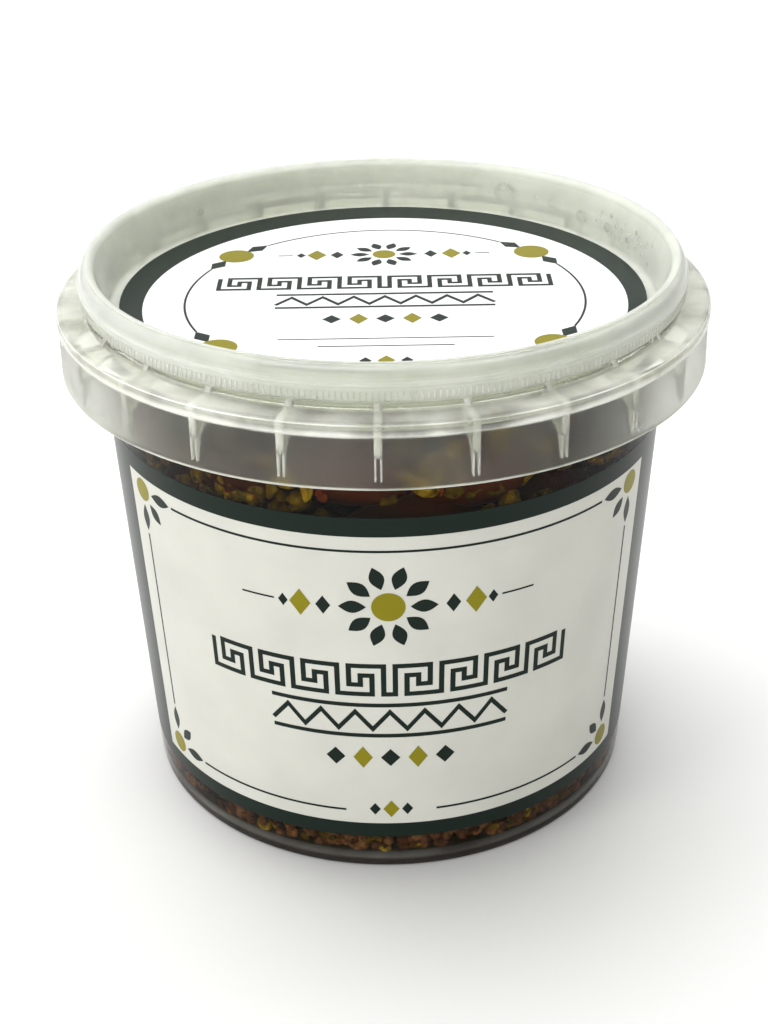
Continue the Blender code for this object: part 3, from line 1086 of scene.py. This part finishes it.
def stroke(path: Sequence[Point2], width: float, shut: bool = False) -> list[list[Point2]]:
    """Return a line of even width along a path, as four-sided stretches with mitred joints.

    Args:
        path: The line's points.
        width: Its width.
        shut: True joins the last point to the first.

    Returns:
        One outline for each stretch.
    """
    count = len(path)
    sides = []
    for i, here in enumerate(path):
        before = path[i - 1] if i or shut else here
        after = path[(i + 1) % count] if i < count - 1 or shut else here
        normals = []
        for start, end in ((before, here), (here, after)):
            run = Vector((end[0] - start[0], end[1] - start[1]))
            if run.length > 1e-9:
                run.normalize()
                normals.append(Vector((-run.y, run.x)))
        joint = sum(normals, Vector((0.0, 0.0))).normalized()
        reach = width / 2 / max(0.3, joint.dot(normals[0]))
        sides.append(((here[0] - joint.x * reach, here[1] - joint.y * reach),
                      (here[0] + joint.x * reach, here[1] + joint.y * reach)))
    last = count if shut else count - 1
    stretches = []
    for i in range(last):
        here, after = sides[i], sides[(i + 1) % count]
        stretches.append([here[0], after[0], after[1], here[1]])
    return stretches


def meander(x: float, y: float, height: float, units: int, line: float) -> list[list[Point2]]:
    """Return a Greek key band about its middle, its two halves mirrored, as stretches of line."""
    cell = height / 3
    key = ((0.5, 0), (0.5, 3), (3.5, 3), (3.5, 1), (2.5, 1), (2.5, 2), (1.5, 2), (1.5, 0))
    half = [(unit * 4 + a, b) for unit in range(units) for a, b in key]
    half += [(units * 4 + 0.5, 0), (units * 4 + 0.5, 3)]
    path = [(-a, b) for a, b in reversed(half)] + half
    return stroke([(x + a * cell, y + (b - 1.5) * cell) for a, b in path], line)


def zigzag(x: float, y: float, width: float, height: float, line: float) -> list[list[Point2]]:
    """Return a sharp wave between two level lines, about its middle."""
    teeth = max(2, round(width / (height * 0.9)))
    pitch = width / teeth
    low, high = y - height * 0.28, y + height * 0.28
    path = [(x - width / 2 + pitch * i / 2, high if i % 2 else low) for i in range(2 * teeth + 1)]
    rules = [box_shape(x - width / 2, y + side * height / 2 - line / 2, x + width / 2,
                       y + side * height / 2 + line / 2) for side in (-1, 1)]
    return stroke(path, line) + rules


@dataclass
class Artwork:
    """Flat shapes of one printed face, by ink, in millimetres."""

    shapes: dict[Ink, list[list[Point2]]] = field(default_factory=lambda: {Ink.GREEN: [], Ink.OCHRE: []})

    def green(self, *outlines: list[Point2]) -> None:
        """Add shapes in dark green."""
        self.shapes[Ink.GREEN].extend(outlines)

    def ochre(self, *outlines: list[Point2]) -> None:
        """Add shapes in ochre."""
        self.shapes[Ink.OCHRE].extend(outlines)

    def rosette(self, x: float, y: float, radius: float) -> None:
        """Add a round flower of pointed petals about an ochre disc."""
        petals = 10
        self.ochre(disc(x, y, radius * 0.34))
        self.green(*[petal(x, y, math.tau * i / petals, radius * 0.44, radius, radius * 0.30)
                     for i in range(petals)])

    def bead_row(self, x: float, y: float, height: float, count: int) -> None:
        """Add a row of lozenges, green and ochre in turn, that starts and ends green."""
        pitch = height * 1.02
        for i in range(count):
            middle = x + (i - (count - 1) / 2) * pitch
            if i % 2:
                self.ochre(lozenge(middle, y, height * 0.72, height))
            else:
                self.green(lozenge(middle, y, height * 0.72, height * 0.8))

    def corner(self, x: float, y: float, inward: float, reach: float) -> None:
        """Add a fan of three petals on an ochre disc, opening at an angle in degrees."""
        self.ochre(disc(x, y, reach * 0.26))
        for turn, share in ((-45, 1.0), (0, 0.86), (45, 1.0)):
            angle = math.radians(inward + turn)
            self.green(petal(x, y, angle, reach * 0.36, reach * share, reach * 0.26))

    def emblem(self, x: float, y: float, radius: float, reach: float) -> None:
        """Add a rosette with dwindling lozenges and a fine rule at each side."""
        self.rosette(x, y, radius)
        for side in (-1, 1):
            near, middle, far = radius + 2.2, radius + 5.6, radius + 8.2
            self.green(lozenge(x + side * near, y, 2.2, 3.2), lozenge(x + side * far, y, 1.5, 2.2))
            self.ochre(lozenge(x + side * middle, y, 3.2, 4.6))
            start, end = sorted((x + side * (far + 1.4), x + side * reach))
            self.green(box_shape(start, y - 0.15, end, y + 0.15))


# Print


@dataclass
class PrintLayer:
    """Lays flat shapes on a surface of the pack as very thin film."""

    place: Callable[[float, float, float], Vector]
    bend: float
    thickness: float = 0.000015

    def mesh(
        self, name: str, outlines: Iterable[list[Point2]], lift: float, material: bpy.types.Material
    ) -> bpy.types.Mesh:
        """Return shapes as closed film that follows the surface.

        Args:
            name: The mesh's name.
            outlines: Flat shapes in millimetres.
            lift: How far the film's back stands off the surface.
            material: The film's ink.

        Returns:
            The film's mesh.
        """
        flat = bmesh.new()
        for outline in outlines:
            flat.faces.new([flat.verts.new((x, y, 0.0)) for x, y in outline])
        bmesh.ops.recalc_face_normals(flat, faces=flat.faces[:])
        for face in flat.faces:
            if face.normal.z < 0:
                face.normal_flip()
        if self.bend:
            self.cut_across(flat)
        bmesh.ops.triangulate(flat, faces=[face for face in flat.faces if len(face.verts) > 4])
        return self.thicken(name, flat, lift, material)

    def cut_across(self, flat: bmesh.types.BMesh) -> None:
        """Cut shapes into upright strips, so that they can bend round the wall."""
        left = min(vert.co.x for vert in flat.verts)
        right = max(vert.co.x for vert in flat.verts)
        cut = math.ceil(left / self.bend) * self.bend
        while cut < right:
            everything = flat.verts[:] + flat.edges[:] + flat.faces[:]
            bmesh.ops.bisect_plane(
                flat, geom=everything, dist=1e-5, plane_co=(cut, 0, 0), plane_no=(1, 0, 0)
            )
            cut += self.bend

    def thicken(
        self, name: str, flat: bmesh.types.BMesh, lift: float, material: bpy.types.Material
    ) -> bpy.types.Mesh:
        """Give flat shapes a front, a back and sides on the surface, and free them."""
        flat.verts.index_update()
        count = len(flat.verts)
        points = []
        for depth in (0.0, self.thickness):
            points += [self.place(vert.co.x, vert.co.y, lift + depth) for vert in flat.verts]
        faces: list[tuple[int, ...]] = []
        for face in flat.faces:
            front = [vert.index for vert in face.verts]
            faces.append(tuple(index + count for index in front))
            faces.append(tuple(reversed(front)))
            for edge_loop in face.loops:
                if len(edge_loop.edge.link_faces) == 1:
                    start, end = edge_loop.vert.index, edge_loop.link_loop_next.vert.index
                    faces.append((start, end, end + count, start + count))
        flat.free()
        mesh = bpy.data.meshes.new(name)
        mesh.from_pydata(points, [], faces)
        return finish_mesh(mesh, material)


@dataclass
class Wrap:
    """The printed wrap: a green film with a white panel at the front and one at the back."""

    inks: dict[Ink, bpy.types.Material]
    bottom: float = field(default_factory=lambda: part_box("tub_label")[0].z)
    top: float = field(default_factory=lambda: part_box("tub_label")[1].z)
    middle_radius: float = 0.0430
    panel_half: float = 46.6
    panel_low: float = 9.2
    panel_high: float = 62.5
    line_half: float = 42.6
    line_low: float = 11.8
    line_high: float = 60.1
    line_width: float = 0.40
    corner_reach: float = 7.2

    def on_wall(self, turn: float) -> Callable[[float, float, float], Vector]:
        """Return what places a flat point on the wall, with its middle at an angle from the front."""

        def place(across: float, height: float, lift: float) -> Vector:
            """Return the point on the wall for a place across, a height in millimetres and a lift."""
            angle = turn + across * MM / self.middle_radius
            radius = WALL.outer(height * MM) + lift
            return Vector((radius * math.sin(angle), -radius * math.cos(angle), height * MM))

        return place

    def frame_lines(self, art: Artwork, gap: float) -> None:
        """Add the fine border line with its corner fans, and a gap in the middle of its lower side."""
        clear = self.corner_reach + 0.6
        half = self.line_width / 2
        low, high, side = self.line_low, self.line_high, self.line_half
        art.green(box_shape(clear - side, high - half, side - clear, high + half))
        for sign in (-1, 1):
            left, right = sorted((sign * gap, sign * (side - clear)))
            art.green(box_shape(left, low - half, right, low + half))
            art.green(box_shape(sign * side - half, low + clear, sign * side + half, high - clear))
            art.corner(sign * side, high, -90 - sign * 45, self.corner_reach)
            art.corner(sign * side, low, 90 + sign * 45, self.corner_reach)

    def front(self) -> Artwork:
        """Return the front panel's artwork."""
        art = Artwork()
        self.frame_lines(art, 7.3)
        art.emblem(0.0, 50.6, 7.2, 22.0)
        art.green(*meander(0.0, 37.4, 5.2, 4, 0.80))
        art.green(*zigzag(0.0, 29.8, 37.0, 5.8, 0.72))
        art.bead_row(0.0, 22.6, 4.2, 5)
        art.green(lozenge(-2.6, 12.2, 1.8, 2.4), lozenge(2.6, 12.2, 1.8, 2.4))
        art.ochre(lozenge(0.0, 12.2, 2.6, 3.4))
        return art

    def back(self) -> Artwork:
        """Return the back panel's plainer artwork: rules in two columns under a rosette."""
        art = Artwork()
        self.frame_lines(art, 4.0)
        art.bead_row(0.0, self.line_low, 2.4, 3)
        art.rosette(0.0, 52.0, 4.6)
        for row in range(8):
            height = 43.0 - row * 3.4
            for left in (-36.0, 3.0):
                art.green(box_shape(left, height, left + 33.0, height + 0.3))
        art.green(*zigzag(0.0, 15.6, 40.0, 3.2, 0.4))
        return art

    def build(self) -> None:
        """Make the film, its panels and its inks."""
        skin = 0.00015
        proud = 0.00002
        low, high = WALL.outer(self.bottom), WALL.outer(self.top)
        film = [(low + proud, self.bottom), (low - skin, self.bottom),
                (high - skin, self.top), (high + proud, self.top)]
        band = turned_mesh("wrap_film", film, self.inks[Ink.GREEN], ring=True)
        add_piece("wrap_film", band, ["tub_label"])
        panel = box_shape(-self.panel_half, self.panel_low, self.panel_half, self.panel_high)
        for label, turn, art in (("front", 0.0, self.front()), ("back", math.pi, self.back())):
            layer = PrintLayer(self.on_wall(turn), bend=1.0)
            name = f"{label}_panel"
            add_piece(name, layer.mesh(name, [panel], proud, self.inks[Ink.PAPER]))
            for ink, shapes in art.shapes.items():
                lift = proud * 2 if ink is Ink.GREEN else proud * 3
                name = f"{label}_{ink.name.lower()}_print"
                add_piece(name, layer.mesh(name, shapes, lift, self.inks[ink]))


@dataclass
class LidDisc:
    """The printed disc on the lid: white within a green ring, the white a little off centre."""

    inks: dict[Ink, bpy.types.Material]
    radius: float = field(default_factory=lambda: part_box("lid_label")[1].x)
    top: float = field(default_factory=lambda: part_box("lid_label")[1].z)
    panel_top: float = 0.0816
    white_radius: float = 37.7
    white_x: float = 0.3
    white_y: float = -2.7
    line_radius: float = 31.2
    line_width: float = 0.36
    sunk: float = 0.00006

    def flat_place(self, x: float, y: float, lift: float) -> Vector:
        """Return the point on the disc for a place in millimetres and a lift."""
        return Vector((x * MM, y * MM, self.top - self.sunk + lift))

    def artwork(self) -> Artwork:
        """Return the disc's artwork."""
        art = Artwork()
        x, y = self.white_x, self.white_y
        stations = (38.0, 142.0, 218.0, 322.0)
        half_gap = 13.0
        for here, after in zip(stations, (*stations[1:], stations[0] + 360.0)):
            turns = [here + half_gap + (after - here - 2 * half_gap) * i / 40 for i in range(41)]
            path = [(x + self.line_radius * math.cos(math.radians(t)),
                     y + self.line_radius * math.sin(math.radians(t))) for t in turns]
            art.green(*stroke(path, self.line_width))
        for station in stations:
            self.jewel(art, math.radians(station))
        art.emblem(x, 16.4, 5.6, 17.6)
        art.green(*meander(x, 3.6, 4.8, 4, 0.74))
        art.green(*zigzag(x, -4.2, 34.0, 5.4, 0.68))
        art.bead_row(x, -11.8, 4.0, 5)
        for half, low in ((16.0, -19.6), (10.0, -22.4)):
            art.green(box_shape(x - half, low, x + half, low + 0.3))
        art.ochre(lozenge(x, -27.6, 2.6, 3.4))
        art.green(lozenge(x - 3.0, -27.6, 1.8, 2.4), lozenge(x + 3.0, -27.6, 1.8, 2.4))
        return art

    def jewel(self, art: Artwork, turn: float) -> None:
        """Add an ochre disc between two green lozenges on the fine circle."""
        for offset, ochre in ((-0.155, False), (0.0, True), (0.155, False)):
            angle = turn + offset
            x = self.white_x + self.line_radius * math.cos(angle)
            y = self.white_y + self.line_radius * math.sin(angle)
            if ochre:
                art.ochre(disc(x, y, 2.9))
            else:
                along = Vector((-math.sin(angle), math.cos(angle)))
                out = Vector((math.cos(angle), math.sin(angle)))
                here = Vector((x, y))
                art.green([tuple(here + along * 2.3), tuple(here + out * 1.3), tuple(here - along * 2.3),
                           tuple(here - out * 1.3)])

    def build(self) -> None:
        """Make the disc and its inks."""
        base = self.top - self.sunk
        under = self.panel_top - 0.00002
        film = [(0.0, base), (self.radius, base), (self.radius, under), (0.0, under)]
        sheet = turned_mesh("disc_film", film, self.inks[Ink.GREEN])
        add_piece("disc_film", sheet, ["lid_label"])
        layer = PrintLayer(self.flat_place, bend=0.0)
        edge = self.radius / MM - 0.35
        white = []
        for x, y in disc(self.white_x, self.white_y, self.white_radius, 160):
            over = max(1.0, math.hypot(x, y) / edge)
            white.append((x / over, y / over))
        field_mesh = layer.mesh("disc_white", [white], 0.0, self.inks[Ink.LID_PAPER])
        add_piece("disc_white", field_mesh)
        for ink, shapes in self.artwork().shapes.items():
            name = f"disc_{ink.name.lower()}_print"
            lift = 0.00002 if ink is Ink.GREEN else 0.00004
            add_piece(name, layer.mesh(name, shapes, lift, self.inks[ink]))


# Contents


@dataclass(frozen=True)
class Lot:
    """How one kind of small piece is scattered, with half sizes in metres."""

    depth: float
    density: float
    smallest: tuple[float, float, float]
    largest: tuple[float, float, float]
    unevenness: float
    seed: int
    heights: Point2 = (0.0030, 0.0765)


MORSEL_LOTS = {
    Marinade.GARLIC: Lot(
        0.0017, 125000.0, (0.0007, 0.0007, 0.0006), (0.0022, 0.0019, 0.0015), 0.0024, 11,
    ),
    Marinade.PULP: Lot(
        0.0011, 420000.0, (0.0007, 0.0007, 0.0006), (0.0015, 0.0013, 0.0010), 0.0014, 51,
        heights=(0.0028, 0.0084),
    ),
    Marinade.CHILLI: Lot(
        0.0015, 26000.0, (0.0006, 0.0005, 0.0003), (0.0017, 0.0013, 0.0008), 0.0014, 23,
    ),
    Marinade.HERB: Lot(
        0.0006, 20000.0, (0.0004, 0.0003, 0.0001), (0.0014, 0.0006, 0.0003), 0.0010, 37,
    ),
}


@dataclass
class Contents:
    """Olives, chopped garlic, herbs and chilli in brown oil, filling the tub up to its flange."""

    olive_skin: bpy.types.Material
    oil: bpy.types.Material
    morsels: dict[Marinade, bpy.types.Material]
    core_finish: bpy.types.Material
    floor: float = TUB_FLOOR
    oil_top: float = 0.0778
    core_depth: float = 0.0052
    olive_length: float = 0.0225
    olive_width: float = 0.0145
    wall_rows: tuple[float, ...] = (0.0103, 0.0226, 0.0349, 0.0472, 0.0595, 0.0716)
    row_count: int = 13
    layers: tuple[tuple[float, float, int], ...] = (
        (0.0110, 0.0270, 8), (0.0110, 0.0125, 4),
        (0.0722, 0.0300, 9), (0.0722, 0.0155, 5), (0.0722, 0.0, 1),
    )
    clusters: tuple[tuple[float, float, float], ...] = (
        (-58, -16, 1.3), (-16, 2, 0.25), (2, 24, 3.4), (24, 34, 0.5),
        (95, 150, 1.3), (-150, -100, 1.3),
    )
    sparse: float = 0.22
    wrap_top: float = 0.0625
    behind_wrap: float = 0.10
    foot_top: float = 0.0095
    at_foot: float = 1.5
    clearance: float = 0.00012
    seed: int = 29

    def olive_points(self, draw: random.Random) -> tuple[list[Vector], list[tuple[int, ...]]]:
        """Return one olive about the origin, long in Z, with the dimple of its pitted end.

        Args:
            draw: The source of its random size and wrinkles.

        Returns:
            Its points and faces.
        """
        around, along = 26, 18
        length = self.olive_length * draw.uniform(0.90, 1.06)
        width = self.olive_width * draw.uniform(0.92, 1.06)
        shift = Vector([draw.uniform(0, 50) for _ in range(3)])
        points = []
        for ring in range(along + 1):
            polar = math.pi * ring / along
            for step in range(around if 0 < ring < along else 1):
                turn = math.tau * step / around
                taper = 1 - 0.13 * math.cos(polar)
                across = math.sin(polar)
                spot = Vector((across * math.cos(turn) * taper * width,
                               across * math.sin(turn) * taper * width, math.cos(polar) * length)) / 2
                wrinkle = noise.fractal(spot * 260 + shift, 1.0, 2.0, 3)
                dimple = math.exp(-((polar / 0.34) ** 2)) * 0.0016
                spot *= 1 + 0.030 * wrinkle
                spot.z -= dimple
                points.append(spot)
        rows = [[0]] + [[1 + r * around + s for s in range(around)] for r in range(along - 1)]
        rows.append([1 + (along - 1) * around])
        pairs = zip(rows, rows[1:])
        faces = [face for upper, lower in pairs for face in faces_between(upper, lower, around)]
        return points, faces

    def press(self, points: list[Vector]) -> list[Vector]:
        """Slide an olive outwards until it all but touches the wall."""
        middle = sum(points, Vector()) / len(points)
        outward = Vector((middle.x, middle.y, 0)).normalized()
        for _ in range(5):
            room = min(WALL.inner(p.z) - p.xy.length for p in points)
            points = [p + outward * (room + self.clearance) for p in points]
        return points

    def settle(self, points: list[Vector]) -> list[Vector]:
        """Flatten points against the inside of the wall and the floor."""
        kept = []
        for point in points:
            limit = WALL.inner(point.z) - self.clearance
            over = max(1.0, point.xy.length / limit)
            height = max(self.floor + self.clearance, point.z)
            kept.append(Vector((point.x / over, point.y / over, height)))
        return kept

    def olives(self) -> bpy.types.Mesh:
        """Return every olive in one mesh, each with its own tone."""
        draw = random.Random(self.seed)
        points: list[Vector] = []
        faces: list[tuple[int, ...]] = []
        tones: list[float] = []
        spots = []
        for row, height in enumerate(self.wall_rows):
            for place in range(self.row_count):
                angle = math.tau * (place + 0.5 * (row % 2) + draw.uniform(-0.12, 0.12)) / self.row_count
                spots.append((angle, 0.034, height + draw.uniform(-0.0012, 0.0012), True))
        for height, radius, count in self.layers:
            for place in range(count):
                angle = math.tau * (place + draw.uniform(-0.15, 0.15)) / count
                spots.append((angle, radius, height, False))
        for angle, radius, height, at_wall in spots:
            lean = Matrix.Rotation(math.pi / 2 + draw.uniform(-0.45, 0.45), 3, "X")
            facing = angle if at_wall else draw.uniform(0, math.tau)
            turn = Matrix.Rotation(facing, 3, "Z") @ lean
            centre = Vector((math.cos(angle) * radius, math.sin(angle) * radius, height))
            shape, loops = self.olive_points(draw)
            placed = [turn @ point + centre for point in shape]
            if at_wall:
                placed = self.press(placed)
            placed = self.settle(placed)
            start = len(points)
            points += placed
            faces += [tuple(index + start for index in loop) for loop in loops]
            tones += [draw.random()] * len(placed)
        mesh = bpy.data.meshes.new("olives_in_oil")
        mesh.from_pydata(points, [], faces)
        store(mesh, "tone", tones)
        mesh.materials.append(self.olive_skin)
        mesh.shade_smooth()
        return mesh

    def band(self, name: str, depth: float, low: float, high: float) -> bpy.types.Mesh:
        """Return an open band just inside the wall to scatter pieces on, crowded where it shows."""
        steps, rows = 72, 24
        points, faces = [], []
        for row in range(rows + 1):
            height = low + (high - low) * row / rows
            radius = WALL.inner(height) - depth
            for step in range(steps):
                angle = math.tau * step / steps
                points.append((radius * math.cos(angle), radius * math.sin(angle), height))
        for row in range(rows):
            for step in range(steps):
                after = (step + 1) % steps
                here, above = row * steps, (row + 1) * steps
                faces.append((here + step, here + after, above + after, above + step))
        mesh = bpy.data.meshes.new(name)
        mesh.from_pydata(points, [], faces)
        store(mesh, "crowd", [self.crowd(math.degrees(math.atan2(x, -y)), z) for x, y, z in points])
        return mesh

    def crowd(self, azimuth: float, height: float) -> float:
        """Return how thickly small pieces lie at the wall, in clusters above the wrap."""
        if height < self.wrap_top:
            return self.at_foot if height < self.foot_top else self.behind_wrap
        for low, high, share in self.clusters:
            if low < azimuth < high:
                return share
        return self.sparse

    def core(self) -> bpy.types.Mesh:
        """Return the dark core that shows between the pieces."""
        top, bottom = self.oil_top - 0.008, self.floor + 0.0002
        outline = [(0.0, top), (WALL.inner(0.068) - self.core_depth, top),
                   (WALL.inner(0.012) - self.core_depth, 0.012), (WALL.inner(0.005) - 0.0014, 0.0070),
                   (WALL.inner(0.004) - 0.0022, bottom), (0.0, bottom)]
        return turned_mesh("heap_core", outline, self.core_finish, steps=96)

    def skin(self, radius: float, height: float) -> float:
        """Return 1 on the oil's upper face and 0 where the oil meets the wall."""
        return 1.0 if height > self.oil_top - 0.0001 else 0.0

    def oil_body(self) -> bpy.types.Mesh:
        """Return the oil, reaching just into the wall and the floor."""
        reach = 0.0001
        low = self.floor - reach
        rim = WALL.inner(self.oil_top) + reach
        outline = [(0.0, self.oil_top), (rim - 0.0006, self.oil_top), (rim, self.oil_top - 0.0002)]
        outline += [(WALL.inner(0.006) + reach, 0.006)]
        inner_foot = WALL.inner(self.floor) + reach
        outline += arc((inner_foot - 0.0010, low + 0.0010), 0.0010, 0, -90, 5)
        outline += [(0.0, low)]
        return turned_mesh("marinade_oil", outline, self.oil, traits={"skin": self.skin})

    def build(self, scatter: bpy.types.NodeTree) -> None:
        """Make the core, the olives, the small pieces and the oil."""
        add_piece("heap_core", self.core(), ["olives"])
        add_piece("olives_in_oil", self.olives(), ["olives"])
        for kind, lot in MORSEL_LOTS.items():
            name = f"{kind.value}_bits"
            bits = run_tree(name, self.band(name, lot.depth, *lot.heights), scatter, {
                "Density": lot.density, "Smallest": lot.smallest, "Largest": lot.largest,
                "Unevenness": lot.unevenness, "Lean": (0.6, 0.6, 3.1), "Sides": 2, "Margin": 0.0001,
                "Seed": lot.seed, "Finish": self.morsels[kind],
            })
            add_piece(name, bits, ["olives"])
        add_piece("marinade_oil", self.oil_body(), ["olives"])


# Stage


@dataclass
class Studio:
    """The floor, the lights and the camera."""

    eye: Vector = field(default_factory=lambda: Vector((-0.0004, -0.2388, 0.1745)))
    pitch: float = math.radians(29.01)
    roll: float = math.radians(-0.948)
    focal: float = 56.45

    def floor(self) -> None:
        """Lay a wide, pale floor."""
        mesh = bpy.data.meshes.new("floor")
        half = 3.0
        corners = [(-half, -half, 0), (half, -half, 0), (half, half, 0), (-half, half, 0)]
        mesh.from_pydata(corners, [], [(0, 1, 2, 3)])
        made, nodes, shader, _ = new_material("floor")
        nodes.fill(shader, {"Base Color": (0.92, 0.92, 0.91, 1.0), "Roughness": 0.7})
        mesh.materials.append(made)
        floor = bpy.data.objects.new("floor", mesh)
        bpy.context.scene.collection.objects.link(floor)

    def lamp(
        self, name: str, place: Sequence[float], aim: Sequence[float], size: Point2, power: float
    ) -> None:
        """Hang a soft rectangular lamp.

        Args:
            name: The lamp's name.
            place: Where it hangs.
            aim: The point that it faces.
            size: Its width and height.
            power: Its power in watts.
        """
        light = bpy.data.lights.new(name, "AREA")
        light.shape = "RECTANGLE"
        light.size, light.size_y = size
        light.energy = power
        lamp = bpy.data.objects.new(name, light)
        lamp.location = place
        lamp.rotation_euler = (Vector(aim) - Vector(place)).to_track_quat("-Z", "Y").to_euler()
        bpy.context.scene.collection.objects.link(lamp)

    def camera(self) -> None:
        """Set the camera where the photograph was taken from."""
        data = bpy.data.cameras.new("camera")
        data.lens = self.focal
        data.sensor_width = 36.0
        data.clip_start = 0.01
        forward = Vector((0.0, math.cos(self.pitch), -math.sin(self.pitch)))
        right = Vector((1.0, 0.0, 0.0))
        up = right.cross(forward)
        cos, sin = math.cos(self.roll), math.sin(self.roll)
        turned_right = right * cos + up * sin
        turned_up = up * cos - right * sin
        camera = bpy.data.objects.new("camera", data)
        axes = Matrix((turned_right, turned_up, -forward)).transposed()
        camera.matrix_world = Matrix.Translation(self.eye) @ axes.to_4x4()
        bpy.context.scene.collection.objects.link(camera)
        bpy.context.scene.camera = camera

    def build(self) -> None:
        """Make the floor, the lights and the camera."""
        scene = bpy.context.scene
        scene.view_settings.view_transform = "Standard"
        world = bpy.data.worlds.new("studio")
        scene.world = world
        world.use_nodes = True
        self.walls(Nodes(world.node_tree), world.node_tree.nodes["Background"])
        self.floor()
        self.lamp("top_light", (-0.1, 0.3, 0.9), (0, 0, 0.05), (0.9, 0.6), 7.0)
        self.lamp("front_light", (-0.15, -0.55, 0.75), (0, 0, 0.05), (0.45, 0.2), 0.12)
        self.lamp("low_light", (-0.3, -0.9, 0.12), (0, 0, 0.04), (0.6, 0.16), 1.75)
        self.lamp("left_light", (-0.8, -0.5, 0.45), (0, 0, 0.05), (0.3, 0.7), 1.6)
        self.camera()

    def walls(self, nodes: Nodes, background: bpy.types.Node) -> None:
        """Light the room around: bright above and behind the tub, dimmer low down and in front."""
        place = nodes.add("ShaderNodeTexCoord")
        parts = nodes.add("ShaderNodeSeparateXYZ", {0: place.outputs["Generated"]})
        height = nodes.math("MULTIPLY_ADD", parts.outputs[2], 0.52, 0.34)
        depth = nodes.math("MULTIPLY_ADD", parts.outputs[1], 0.16, height)
        left = nodes.math("MULTIPLY_ADD", parts.outputs[0], -0.20, depth)
        nodes.fill(background, {0: (1.0, 1.0, 0.985, 1.0), 1: nodes.math("MAXIMUM", left, 0.03)})


def main() -> None:
    """Build the studio and every piece of the tub."""
    logging.basicConfig(level=logging.INFO, format="%(message)s")
    Studio().build()
    clear = ClearPlastic("clear_plastic").build()
    wall_clear = ClearPlastic("wall_plastic", bending=1.16, glow=0.0).build()
    lid_clear = ClearPlastic("lid_plastic", colour=(0.83, 0.85, 0.785), milk_and_glint_patchiness=0.25).build()
    tick_clear = ClearPlastic("tick_plastic", bending=1.04, glow=0.0, milk_and_glint_patchiness=1.2).build()
    water = ClearPlastic(
        "water", colour=(0.93, 0.94, 0.91), bending=1.36, smoothness=0.0, ripple=0.0
    ).build()
    wrap_inks = {ink: PrintedFilm(f"wrap_{ink.name.lower()}", ink).build() for ink in Ink}
    disc_inks = {ink: PrintedFilm(f"disc_{ink.name.lower()}", ink, gloss=0.2).build() for ink in Ink}
    repeat, scatter = ring_tree(), scatter_tree()
    Tub(clear, wall_clear, WettedPlastic().build()).build(repeat)
    Lid(lid_clear, tick_clear, water).build(repeat, scatter)
    Wrap(wrap_inks).build()
    LidDisc(disc_inks).build()
    morsels = {kind: Morsel(kind.value, stops).build() for kind, stops in MORSEL_TONES.items()}
    core = Morsel("heap_core", CORE_TONES, roughness=0.7).build()
    Contents(OliveSkin().build(), OilFinish().build(), morsels, core).build(scatter)


if __name__ == "__main__":
    main()
